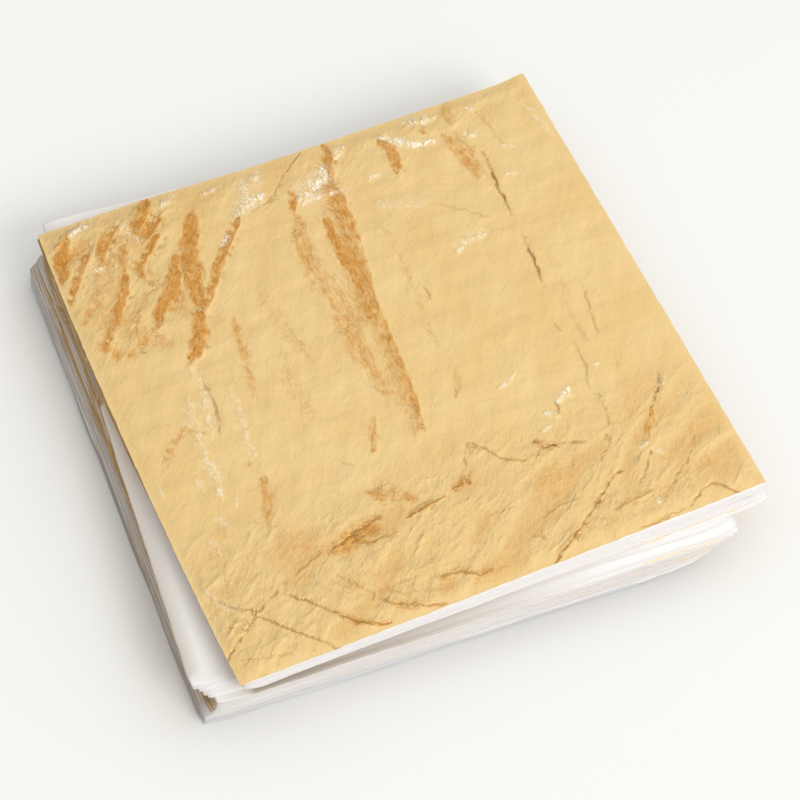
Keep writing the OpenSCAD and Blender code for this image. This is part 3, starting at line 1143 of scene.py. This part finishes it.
FRONT_LEFT_CREASES = (
    Crease(Mark.FAINT, ((-52, -3), (-56, 0), (-60, -3), (-63.5, -7)), 1.3),
    Crease(Mark.FAINT, ((-44, -20), (-45, -26), (-48, -33)), 2.6, 0.9),
    Crease(Mark.FAINT, ((-44, -14), (-47, -17)), 0.9),
    Crease(Mark.LINE, ((-47, 13), (-46.8, 5), (-47.8, -1), (-49, -5)), 0.45, 0.55),
    Crease(Mark.STREAK, ((-48.5, 17), (-48, 10), (-49, 4), (-51, -5)), 0.8, 0.7),
    Crease(Mark.STREAK, ((-52, 9), (-53, 3), (-54, -6), (-54, -16), (-55, -22)), 1.1, 0.9),
    Crease(Mark.STREAK, ((-42, 8), (-42, 0), (-43.5, -7), (-43.5, -14)), 0.7, 0.7),
    Crease(Mark.STREAK, ((-51.5, -22), (-52.3, -25)), 0.5, 0.7),
    Crease(Mark.STREAK, ((-58.5, -14), (-58, -18)), 0.6, 0.6),
    Crease(Mark.STREAK, ((-57, -26), (-56.5, -31)), 0.6, 0.6),
    Crease(Mark.STREAK, ((-61.5, -31), (-60.5, -36)), 0.6, 0.6),
    Crease(Mark.STREAK, ((-67, -13), (-67, -15.5)), 0.5, 0.7),
    Crease(Mark.STREAK, ((-67.5, -43), (-66, -48), (-62, -53)), 0.5, 0.6),
    Crease(Mark.LINE, ((-66, -47), (-63, -51), (-58.5, -53.5), (-54, -51.5), (-50, -49)), 0.6, 0.7),
    Crease(Mark.LINE, ((-70.5, -63), (-66, -59.5), (-62, -57), (-59, -54.5)), 0.6, 0.75),
    Crease(Mark.LINE, ((-60, -54), (-57, -57), (-54, -61), (-50, -65), (-45, -70)), 0.6, 0.7),
    Crease(Mark.CRUMPLE, ((-66, -55), (-61, -57)), 2.2, 0.5),
    Crease(Mark.LINE, ((-51, -52), (-48, -55), (-45, -58), (-42, -62)), 0.8, 0.9),
    Crease(Mark.CRUMPLE, ((-42, -61), (-39, -65), (-35, -67.5), (-31, -69)), 1.2),
    Crease(Mark.CRUMPLE, ((-30, -63), (-26, -66), (-21, -68), (-17, -69.5)), 1.7, 0.75),
    Crease(Mark.CRUMPLE, ((-47, -48), (-43, -46), (-39, -45)), 1.4, 0.5),
    Crease(Mark.CRUMPLE, ((-36, -45), (-32, -44), (-28, -42.5), (-22, -41.8)), 2.0),
    Crease(Mark.FAINT, ((-37, -46), (-30, -45), (-24, -44)), 4.0),
    Crease(Mark.FAINT, ((-45, -50), (-36, -56), (-28, -62), (-14, -64), (0, -66)), 5.0, 0.55),
    Crease(Mark.CRUMPLE, ((-30, -46), (-26, -47), (-20, -47)), 2.2, 0.65),
    Crease(Mark.FAINT, ((-22, -34), (-15, -38), (-12, -41)), 3.2),
    Crease(Mark.FAINT, ((-50, -30), (-46, -38), (-40, -44)), 4.0, 0.5),
    Crease(Mark.CRUMPLE, ((-16, -44.3), (-10, -43), (-5, -42.6)), 1.0, 0.9),
    Crease(Mark.LINE, ((-38, -52), (-35, -56), (-32, -60), (-33, -61.5)), 0.5, 0.35),
    Crease(Mark.LINE, ((-25, -60), (-20, -60)), 0.5, 0.5),
    Crease(Mark.CRUMPLE, ((-20, -58), (-15, -57.5)), 1.0, 0.4),
    Crease(Mark.CRUMPLE, ((-15, -62), (-10, -63), (-6, -65.5), (-3, -65.5)), 1.5, 0.75),
    Crease(Mark.LINE, ((-67, -64), (-60, -66), (-56, -67)), 0.5, 0.35),
    Crease(Mark.LINE, ((-26, -22), (-22, -26)), 0.5, 0.25),
)

FRONT_RIGHT_CREASES = (
    Crease(Mark.CRUMPLE, ((-2, -41.5), (1, -40.5), (2.5, -42)), 1.1),
    Crease(Mark.LINE, ((2.5, -40), (4, -34.5), (6.5, -30.5), (9, -33), (12, -38)), 0.6, 0.6),
    Crease(Mark.CRUMPLE, ((6, -33), (9, -34)), 1.8, 0.65),
    Crease(Mark.LINE, ((12, -38), (17, -41), (21, -40.5), (25, -39.7), (30, -40.5), (34, -42)), 0.9, 0.65),
    Crease(Mark.CRUMPLE, ((22, -37), (24, -39.5), (27, -41)), 1.3, 0.95),
    Crease(Mark.CRUMPLE, ((12, -69.5), (16, -67), (20, -65), (25, -62)), 1.1, 0.95),
    Crease(Mark.LINE, ((12, -69.5), (20, -65), (25, -61.5), (30, -58), (34, -55), (39, -52.5)), 0.7),
    Crease(Mark.LINE, ((41, -58), (45, -54.5), (47.5, -51)), 0.5, 0.8),
    Crease(Mark.STREAK, ((48, -50), (50, -52), (53, -54)), 0.5, 0.8),
    Crease(Mark.GLINT, ((45, -49), (48, -48.5)), 0.6, 0.6),
    Crease(Mark.LINE, ((45, -64), (49, -61), (52, -58.5), (56, -56), (60, -51)), 0.5, 0.6),
    Crease(Mark.CRUMPLE, ((32, -62), (37, -61.5), (43, -61)), 1.0, 0.6),
    Crease(Mark.CRUMPLE, ((35, -69.5), (45, -69), (50, -68.5)), 1.0, 0.55),
    Crease(Mark.LINE, ((50, -68.5), (54, -66), (58, -65), (60, -67), (62.5, -70)), 0.6, 0.75),
    Crease(Mark.LINE, ((60, -30.5), (58.5, -34.5), (56, -37), (53.5, -39.5)), 0.5, 0.95),
    Crease(Mark.BAND, ((53.5, -39.5), (51.5, -43), (48, -47.5)), 0.8, 0.6),
    Crease(Mark.LINE, ((43, -31), (42.5, -36), (41.5, -39.5)), 0.5, 0.6),
    Crease(Mark.FAINT, ((41.5, -40), (39, -44), (35, -49)), 1.1, 0.9),
    Crease(Mark.LINE, ((42, -6), (42.3, -10)), 0.7, 0.35),
    Crease(Mark.LINE, ((44, -14), (44, -21), (42.5, -25), (41.5, -29)), 0.5, 0.4),
    Crease(Mark.LINE, ((54.2, 2), (53, -4), (52, -9), (51, -14)), 0.6, 0.4),
    Crease(Mark.FAINT, ((54, -22), (51, -26)), 1.6, 0.7),
    Crease(Mark.FAINT, ((20, -66), (34, -62), (50, -62), (62, -58)), 5.0, 0.5),
    Crease(Mark.GLINT, ((28, -30.5), (31, -32.7)), 0.7, 0.9),
    Crease(Mark.GLINT, ((32, -29), (34, -28), (37, -26)), 0.8, 0.9),
    Crease(Mark.GLINT, ((25, -35), (28, -34.6)), 0.6, 0.7),
    Crease(Mark.LINE, ((31.8, -29), (31.5, -32)), 0.4, 0.6),
    Crease(Mark.GLINT, ((20, -19.3), (22, -19.2), (26, -17)), 0.6, 0.6),
    Crease(Mark.GLINT, ((46, -22.3), (47.3, -22.2)), 0.6, 0.9),
    Crease(Mark.GLINT, ((42, -64.3), (43.5, -64.5)), 0.7),
    Crease(Mark.GLINT, ((59.3, -34.5), (60.5, -33)), 0.5, 0.8),
    Crease(Mark.CRUMPLE, ((3, -52), (9, -51.8)), 0.7, 0.45),
    Crease(Mark.CRUMPLE, ((15, -57), (20, -56), (25, -55.5)), 0.9, 0.45),
    Crease(Mark.CRUMPLE, ((10, -60.5), (13, -63)), 1.1, 0.45),
)


@dataclass(frozen=True)
class LeafRelief:
    """The creases and the gentle swell of the top leaf."""

    creases: tuple[Crease, ...]
    seed: int = 91
    swell: float = 0.03
    ripple: float = 0.04
    fine: float = 0.012
    ground: float = 0.06
    room: float = 0.17
    highest: float = 0.36
    fold_height: float = 0.13
    fold_reach: float = 4.0
    fold_width: float = 0.26
    crackle: float = 0.07
    band_ridge: float = 0.20
    rumple: float = 0.04
    wander: float = 0.16
    line_wander: float = 0.14
    band_spread: float = 1.55
    line_first: float = 1.5
    plain_at: Point = (15.0, 6.0)
    plain_reach: Point = (42.0, 44.0)
    outer_warmth: float = 0.14
    fold_shade: float = 0.12
    lift_off: float = 0.03

    def _rough_share(self, x: np.ndarray, y: np.ndarray) -> np.ndarray:
        """Works out how creased the leaf is: most in front and at the back left, least at the right.

        Args:
            x: X of each point.
            y: Y of each point.

        Returns:
            A share from 0 to 1 at each point.
        """
        front = smooth((-22.0 - y) / 22.0)
        corner = smooth((-30.0 - x) / 18.0) * smooth((y - 14.0) / 26.0)
        back = smooth((y - 50.0) / 15.0)
        return np.clip(0.16 + 0.75 * front + 0.55 * corner + 0.45 * back, 0.0, 1.0)

    def _folds(self, x: np.ndarray, y: np.ndarray) -> np.ndarray:
        """Draws sharp creases along the zero lines of slanted waves.

        Args:
            x: X of each point.
            y: Y of each point.

        Returns:
            How much of a crease each point is.
        """
        c, d = math.cos(0.62), math.sin(0.62)
        along, across = x * c + y * d, y * c - x * d
        total = np.zeros_like(x)
        for number, span in enumerate((1.0, 0.62, 0.4)):
            field = Waves(self.seed + 20 + number, 9.0 * span, 30.0 * span, 10).at(0.42 * along, across)
            strength = Waves(self.seed + 30 + number, 10.0, 34.0).at(x, y)
            total += span * np.exp(-(field / self.fold_width) ** 2) * np.clip(0.5 + strength, 0.0, 1.4)
        return total * self._rough_share(x, y)

    def marks(self, x: np.ndarray, y: np.ndarray) -> dict[str, np.ndarray]:
        """Works out what the creases do at each point.

        Args:
            x: X of each point.
            y: Y of each point.

        Returns:
            The painted values, and the rise under "rise".
        """
        shift_x = Waves(self.seed, 1.6, 8.0, 12).at(x, y)
        shift_y = Waves(self.seed + 1, 1.6, 8.0, 12).at(x, y)
        patchy = 0.95 + 0.12 * Waves(self.seed + 2, 3.0, 12.0, 12).at(x, y)
        names = ("warm", "dark", "pale", "crinkle", "rise", "run", "across", "fold")
        found = {name: np.zeros_like(x) for name in names}
        nearest, nearest_fold = np.full_like(x, 1e9), np.full_like(x, 1e9)
        for number, crease in enumerate(self.creases):
            wander = self.line_wander if crease.mark is Mark.LINE else self.wander
            away, side, along = self._distance(x + wander * shift_x, y + wander * shift_y, crease.path)
            taper = 0.3 + 0.7 * np.sqrt(np.clip(np.sin(math.pi * along), 0.0, 1.0))
            taper = taper * (self.band_spread if crease.mark is Mark.BAND else 1.0)
            share = 1.0 - smooth((away / (crease.width * taper) - 0.35) / 1.1)
            if crease.mark in (Mark.FAINT, Mark.GLINT, Mark.STREAK):
                share = np.exp(-(away / (crease.width * taper)) ** 2)
            if crease.soft_width:
                share = np.where(side < 0, np.exp(-(away / crease.soft_width) ** 2), share)
            share = share * crease.strength
            length = sum(math.dist(a, b) for a, b in zip(crease.path, crease.path[1:]))
            closer = (away < nearest) & (crease.mark is not Mark.FAINT)
            nearest = np.where(closer, away, nearest)
            found["run"] = np.where(closer, along * length + CREASE_STRIDE * number, found["run"])
            found["across"] = np.where(closer, side * away, found["across"])
            warm, dark, pale, crinkle, rise = crease.mark.value
            if dark:
                reach = away + (0.0 if crease.mark is Mark.LINE else self.line_first)
                found["fold"] = np.where(reach < nearest_fold, side * away, found["fold"])
                nearest_fold = np.minimum(nearest_fold, reach)
            # Warm and dark below are painted crease shade, and pale is a painted glint
            textured = share * np.clip(patchy, 0.4, 1.2)
            found["warm"] = np.maximum(found["warm"], warm * textured)
            broad = np.exp(-(away / (max(crease.width, 1.2) * taper)) ** 2) * crease.strength
            found["dark"] = np.maximum(found["dark"], dark * broad)
            found["pale"] = np.maximum(found["pale"], pale * textured)
            found["crinkle"] = np.maximum(found["crinkle"], crinkle * share)
            found["rise"] += rise * share
            if crease.mark is Mark.BAND:
                found["rise"] += self.band_ridge * crease.strength * self._ramp(-away * side, crease)
            if crease.mark is Mark.LINE:
                step = np.tanh(side * away / crease.width) * np.exp(-(away / self.fold_reach) ** 2)
                found["rise"] += self.fold_height * crease.strength * step * np.sin(math.pi * along)
        folds = self._folds(x, y)
        off_x = (x - self.plain_at[0]) / self.plain_reach[0]
        off_y = (y - self.plain_at[1]) / self.plain_reach[1]
        around = np.clip(1.0 - np.exp(-off_x ** 2 - off_y ** 2), 0.0, 1.0)
        # Warmer away from the plain middle, and painted orange shade along the folds
        found["warm"] = np.maximum(found["warm"], self.outer_warmth * around + self.fold_shade * folds)
        crumpled = Waves(self.seed + 40, 1.8, 4.5, 14).at(x, y) * found["crinkle"]
        found["rise"] += self.crackle * folds - self.rumple * np.abs(crumpled)
        found["rough"] = self._rough_share(x, y)
        return found

    @staticmethod
    def _ramp(left: np.ndarray, crease: Crease) -> np.ndarray:
        """Makes a fold that climbs from a band's soft side to its sharp side and drops there.

        Args:
            left: Distance from the band's line, positive on its right hand.
            crease: The band.

        Returns:
            Height at each point, from 0 to 1.
        """
        reach = crease.soft_width or crease.width
        climb = np.clip((reach - left) / (reach + crease.width), 0.0, 1.0)
        drop = np.clip(1.0 + (left + crease.width) / 0.9, 0.0, 1.0)
        return climb * drop

    @staticmethod
    def _distance(x: np.ndarray, y: np.ndarray,
                  path: tuple[Point, ...]) -> tuple[np.ndarray, np.ndarray, np.ndarray]:
        """Measures where each point lies from a line.

        Args:
            x: X of each point.
            y: Y of each point.
            path: The line, as X and Y of points.

        Returns:
            Distance to the line, 1 on its left or -1 on its right, and the share of it passed.
        """
        best, side, passed = np.full_like(x, 1e9), np.ones_like(x), np.zeros_like(x)
        total = sum(math.dist(a, b) for a, b in zip(path, path[1:]))
        start = 0.0
        for (ax, ay), (bx, by) in zip(path, path[1:]):
            dx, dy = bx - ax, by - ay
            share = np.clip(((x - ax) * dx + (y - ay) * dy) / (dx * dx + dy * dy), 0.0, 1.0)
            away = np.hypot(x - ax - share * dx, y - ay - share * dy)
            left = np.where(dx * (y - ay) - dy * (x - ax) > 0, 1.0, -1.0)
            nearer = away < best
            side = np.where(nearer, left, side)
            passed = np.where(nearer, (start + share * math.hypot(dx, dy)) / total, passed)
            best = np.minimum(best, away)
            start += math.hypot(dx, dy)
        return best, side, passed

    def cushion(self, x: np.ndarray, y: np.ndarray) -> np.ndarray:
        """How far the tissue right under the leaf stands off its flat place."""
        swell = self.swell * Waves(self.seed + 3, 24.0, 90.0).at(x, y)
        return np.clip(self.ground + swell, 0.0, self.highest)

    def height(self, x: np.ndarray, y: np.ndarray, rise: np.ndarray) -> np.ndarray:
        """Works out how far the leaf stands off its flat place, always more than the tissue does.

        Args:
            x: X of each point.
            y: Y of each point.
            rise: What the creases add.

        Returns:
            Height at each point.
        """
        ripple = self.ripple * Waves(self.seed + 4, 5.0, 16.0, 12).at(x, y)
        fine = self.fine * Waves(self.seed + 5, 2.0, 5.0, 16).at(x, y)
        own = np.clip(self.room + ripple + fine + rise, 0.0, self.highest)
        return self.cushion(x, y) + self.lift_off + own


@dataclass(frozen=True)
class LooseSheets:
    """The four sheets that lift off one by one below the top leaf, and share its shape more and more."""

    relief: LeafRelief
    curl: CornerCurl
    edges: Edges
    outline: LeafOutline
    shares: tuple[tuple[str, float], ...] = (
        ("third_leaf", 0.2), ("second_tissue", 0.45), ("second_leaf", 0.7), ("top_tissue", 1.0))
    first_number: int = 50
    first_tint: float = 0.3
    tint_step: float = 0.1
    thickness_share: float = 0.5
    layout: Layout = Layout(per_side=120, insets=(0.0, 0.6), grid_inset=1.5, cells=120)

    def build(self, finishes: dict[Kind, bpy.types.Material]) -> None:
        """Makes each loose sheet.

        Args:
            finishes: The material of each kind of sheet.
        """
        for number, (node, share) in enumerate(self.shares):
            sheet = read_sheets(node)[0]
            s, t = self.layout.points(sheet.width, sheet.length)
            x, y = sheet.place(*self.edges.moved(s, t, sheet, self.first_number + number))
            flat = self.relief.cushion(x, y) * share + self.curl.at(x, y)
            x, y = self.outline.moved(x, y)
            thin = self.thickness_share * (sheet.high - sheet.low)
            top = np.stack([x, y, sheet.high + flat], 1)
            bottom = np.stack([x, y, sheet.high - thin + flat], 1)
            parts = MeshParts()
            tint = np.full(2 * len(x), self.first_tint + self.tint_step * number)
            stain_and_shade = np.zeros_like(tint)
            parts.add_sheet(top, bottom, self.layout, self.layout, {"tint": tint, "stain_and_shade": stain_and_shade})
            settle(parts.make(f"{node}.sheet", finishes[sheet.kind]), node)


@dataclass(frozen=True)
class TopLeaf:
    """The creased leaf on top of the stack."""

    relief: LeafRelief
    outline: LeafOutline
    curl: CornerCurl
    finish: CreasedMetal
    thickness: float = 0.03
    edge_seed: int = 411
    edge_wave: float = 0.04
    rim_width: float = 0.9
    rim_highlight: float = 0.12
    rim_reach: float = 4.0
    sharp_angle: float = 55.0
    upper: Layout = Layout(per_side=280, insets=(), grid_inset=0.0, cells=280)
    lower: Layout = Layout(per_side=280, insets=(0.0,), grid_inset=1.0, cells=70)

    def _face(self, sheet: Sheet, layout: Layout) -> tuple[np.ndarray, dict[str, np.ndarray]]:
        """Shapes one face of the leaf.

        Args:
            sheet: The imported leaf.
            layout: How the face's points are spread.

        Returns:
            Its points, with Z at the underside, and its painted values.
        """
        x, y = sheet.place(*layout.points(sheet.width, sheet.length))
        marks = self.relief.marks(x, y)
        from_side, from_end = sheet.width / 2 - np.abs(x), sheet.length / 2 - np.abs(y)
        rim = smooth(1.0 - np.minimum(from_side, from_end) / self.rim_reach)
        floor = self.relief.cushion(x, y) + self.relief.lift_off
        own = self.relief.height(x, y, marks.pop("rise")) - floor
        height = floor + own * (1.0 - 0.8 * rim) + self.curl.at(x, y)
        # Painted highlight along the left, right and front rims, carried in the pale values
        rim_highlight_share = np.maximum(smooth(1 - from_side / self.rim_width),
                         0.5 * smooth(1 - (y + sheet.length / 2) / self.rim_width))
        marks["pale"] = np.maximum(marks["pale"], self.rim_highlight * rim_highlight_share)
        for name in ("rough", "crinkle"):
            marks[name] = marks[name] * (1.0 - 0.75 * rim)
        x, y = self.outline.moved(x, y)
        x = x + rim * self.edge_wave * Waves(self.edge_seed, 3.0, 16.0).at(x, y)
        y = y + rim * self.edge_wave * Waves(self.edge_seed + 1, 3.0, 16.0).at(x, y)
        return np.stack([x, y, sheet.low + height], 1), marks

    def build(self) -> None:
        """Makes the leaf."""
        sheet = read_sheets("top_leaf")[0]
        top, upper_marks = self._face(sheet, self.upper)
        bottom, lower_marks = self._face(sheet, self.lower)
        top[:, 2] += self.thickness
        paint = {k: np.concatenate([upper_marks[k], lower_marks[k]]) for k in upper_marks}
        parts = MeshParts()
        parts.add_sheet(top, bottom, self.upper, self.lower, paint)
        leaf = parts.make("top_leaf.creased", self.finish.make())
        leaf.data.set_sharp_from_angle(angle=math.radians(self.sharp_angle))
        settle(leaf, "top_leaf")


@dataclass(frozen=True)
class Studio:
    """Camera, floor and soft light."""

    eye: tuple[float, float, float] = (-150.9, -302.05, 551.03)
    forward: tuple[float, float, float] = (0.23644, 0.46513, -0.85308)
    upward: tuple[float, float, float] = (0.33332, 0.78587, 0.52087)
    view_angle: float = 18.377
    sensor_width: float = 36.0
    floor_side: float = 9000.0
    floor_drop: float = 0.02
    floor_colour: Colour = (0.86, 0.855, 0.82)
    floor_bounce: Colour = (0.36, 0.31, 0.255)
    sky_level: float = 0.51
    sky_slope: float = 0.70
    bright_side: tuple[float, float, float] = (0.56, -0.18, 0.81)
    key_from: tuple[float, float, float] = (660.0, -1860.0, 1600.0)
    key_side: float = 1100.0
    key_power: float = 23.4

    def build(self) -> None:
        """Sets up the camera, the floor, the lamp and the world."""
        self._camera()
        self._floor()
        self._key()
        self._world()
        bpy.context.scene.view_settings.view_transform = "Standard"

    def _camera(self) -> None:
        """Puts the camera where the photograph was taken from."""
        data = bpy.data.cameras.new("camera")
        camera = bpy.data.objects.new("camera", data)
        bpy.context.scene.collection.objects.link(camera)
        back = -Vector(self.forward).normalized()
        right = Vector(self.upward).cross(back).normalized()
        up = back.cross(right)
        turn = Matrix((right, up, back)).transposed().to_4x4()
        camera.matrix_world = Matrix.Translation(Vector(self.eye) * MM) @ turn
        data.sensor_width = self.sensor_width
        data.angle = math.radians(self.view_angle)
        data.clip_start = 0.02
        data.clip_end = 50.0
        bpy.context.scene.camera = camera

    def _floor(self) -> None:
        """Lays the pale floor, which shows brighter than it lights the stack."""
        half = self.floor_side / 2 * MM
        mesh = bpy.data.meshes.new("floor")
        corners = [(-half, -half, 0), (half, -half, 0), (half, half, 0), (-half, half, 0)]
        mesh.from_pydata(corners, [], [(0, 1, 2, 3)])
        floor = bpy.data.objects.new("floor", mesh)
        bpy.context.scene.collection.objects.link(floor)
        floor.location.z = -self.floor_drop * MM
        material, n = new_material("floor")
        camera = n.add("ShaderNodeLightPath", {}, {}, "Is Camera Ray")
        mirror = n.add("ShaderNodeLightPath", {}, {}, "Is Glossy Ray")
        seen = camera.most(mirror)
        colour = n.mix(seen, self.floor_bounce, self.floor_colour)
        n.end("ShaderNodeOutputMaterial", n.add("ShaderNodeBsdfDiffuse", {}, {"Color": colour}))
        mesh.materials.append(material)

    def _key(self) -> None:
        """Hangs the soft lamp at the front right."""
        data = bpy.data.lights.new("key", "AREA")
        data.shape = "SQUARE"
        data.size = self.key_side * MM
        data.energy = self.key_power
        lamp = bpy.data.objects.new("key", data)
        lamp.location = Vector(self.key_from) * MM
        lamp.rotation_euler = (-lamp.location).to_track_quat("-Z", "Y").to_euler()
        bpy.context.scene.collection.objects.link(lamp)

    def _world(self) -> None:
        """Makes the world brighter toward one side, as a studio with one wall of soft light."""
        world = bpy.data.worlds.new("studio")
        world.use_nodes = True
        bpy.context.scene.world = world
        n = Nodes(world.node_tree)
        heading = n.add("ShaderNodeTexCoord", {}, {}, "Generated")
        toward = tuple(Vector(self.bright_side).normalized())
        facing = n.add("ShaderNodeVectorMath", {"operation": "DOT_PRODUCT"},
                       {0: heading, 1: toward}, "Value")
        level = self.sky_level + self.sky_slope * facing
        light = n.add("ShaderNodeBackground", {}, {"Color": (1.0, 1.0, 1.0), "Strength": level})
        n.end("ShaderNodeOutputWorld", light)


def bundle_nodes(name: str) -> tuple[str, ...]:
    """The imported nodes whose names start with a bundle's name, but for the loose top sheets."""
    alone = {"top_leaf", "top_tissue"}
    return tuple(sorted(n for n in frame["nodes"] if n.startswith(name) and n not in alone))


def make_bundles(curl: CornerCurl, outline: LeafOutline) -> tuple[Bundle, ...]:
    """Sets out the six bundles.

    Args:
        curl: The corner that the highest two bend up.
        outline: The outline that the highest one shares with the top leaf.

    Returns:
        The bundles, the lowest first.
    """
    fine = Layout(per_side=72, insets=(0.0, 3.0, 8.0), grid_inset=13.0, cells=36)
    lift = ((-72.0, 1.2), (-40.0, 1.2), (-10.0, 0.9), (14.0, 0.4), (26.0, 0.0))
    dip = ((24.0, 0.0), (34.0, 0.15), (45.0, 0.4), (70.0, 0.5))
    base_edges = Edges(1, ragged=0.1, pull_low=(-3.0, 1.8), pull_high=(-3.5, -3.6), crush=2.0)
    lower_edges = Edges(2, pull_low=(-3.5, -4.0), pull_high=(-2.4, -3.6), crush=2.4)
    middle_edges = Edges(3, pull_low=(-2.4, -3.6), pull_high=(-1.6, -0.4), crush=2.0)
    ledge_edges = Edges(4, ragged=0.04, leaf_out=(-0.5, -0.2, -1.6, 0.25), all_out=(0.0, 0.0, 1.5, 0.0),
                        pull_low=(-2.2, 1.0), pull_high=(0.4, 4.0), crush=0.8,
                        notch_start=82.0, notch_depth=2.2)
    upper_edges = Edges(5, ragged=0.05, leaf_out=(-0.45, -0.35, -0.1, 0.08), leaf_start=40.0,
                        all_out=(0.0, -1.1, 0.0, 0.0), undercut=4.0)
    top_edges = Edges(6, ragged=0.03, stray=0.035, leaf_out=(-0.5, -0.4, -0.1, 0.08), leaf_start=40.0,
                      all_out=(0.0, -0.6, 0.0, -0.3), round_off=0.2)
    card = ((Kind.LEAF, 0.03), (Kind.TISSUE, 0.09))
    soft = ((Kind.LEAF, 0.02), (Kind.TISSUE, 0.048))
    return (
        Bundle(bundle_nodes("base") + ("small_papers_stack",), base_edges, 1, spread=0.5,
               left_browning=1.0, evening=5),
        Bundle(bundle_nodes("lower"), lower_edges, 2, spread=0.45, left_browning=0.9, evening=6),
        Bundle(bundle_nodes("middle"), middle_edges, 3, spread=0.45, left_browning=0.8, evening=6,
               dim_start=8.0, dim_sheets=3),
        Bundle(bundle_nodes("ledge"), ledge_edges, 4, spread=0.6, dim_start=12.5, dim_sheets=12),
        Bundle(bundle_nodes("upper"), upper_edges, 5, front_lift=lift, front_gap=dip, curl=curl,
               hidden=fine, spread=0.7, thickness=soft, gap_reach=24.0),
        Bundle(bundle_nodes("top"), top_edges, 6, curl=curl, hidden=fine, outline=outline,
               spread=0.4, thickness=card, streaked=0.3),
    )


def main() -> None:
    """Builds the studio and the stack from the table up, and notes the sizes."""
    logging.basicConfig(level=logging.INFO, format="%(name)s %(message)s")
    Studio().build()
    tissue = SoftPaper("tissue", warm=(0.95, 0.895, 0.84), cool=(0.90, 0.865, 0.86), cloud_span=22.0,
                       fibre_depth=0.05, see_through=0.1)
    paper = SoftPaper("base_paper", warm=(0.82, 0.825, 0.84), cool=(0.77, 0.79, 0.83), cloud_span=30.0,
                      fibre_depth=0.04, see_through=0.0)
    finishes = {Kind.LEAF: PlainMetal().make(), Kind.TISSUE: tissue.make(), Kind.PAPER: paper.make()}
    curl, outline = CornerCurl(), LeafOutline()
    for bundle in make_bundles(curl, outline):
        bundle.build(finishes)
    relief = LeafRelief(BACK_LEFT_CREASES + MIDDLE_CREASES + BACK_RIGHT_CREASES
                        + FRONT_LEFT_CREASES + FRONT_RIGHT_CREASES)
    loose_edges = Edges(7, ragged=0.02, stray=0.03, leaf_stray=0.04, leaf_out=(-0.35, -0.3, -0.2, -0.1),
                        leaf_dashes=0.04, all_out=(0.0, -0.5, 0.0, -0.5), round_off=0.15)
    LooseSheets(relief, curl, loose_edges, outline).build(finishes)
    TopLeaf(relief, outline, curl, CreasedMetal()).build()


if __name__ == "__main__":
    main()
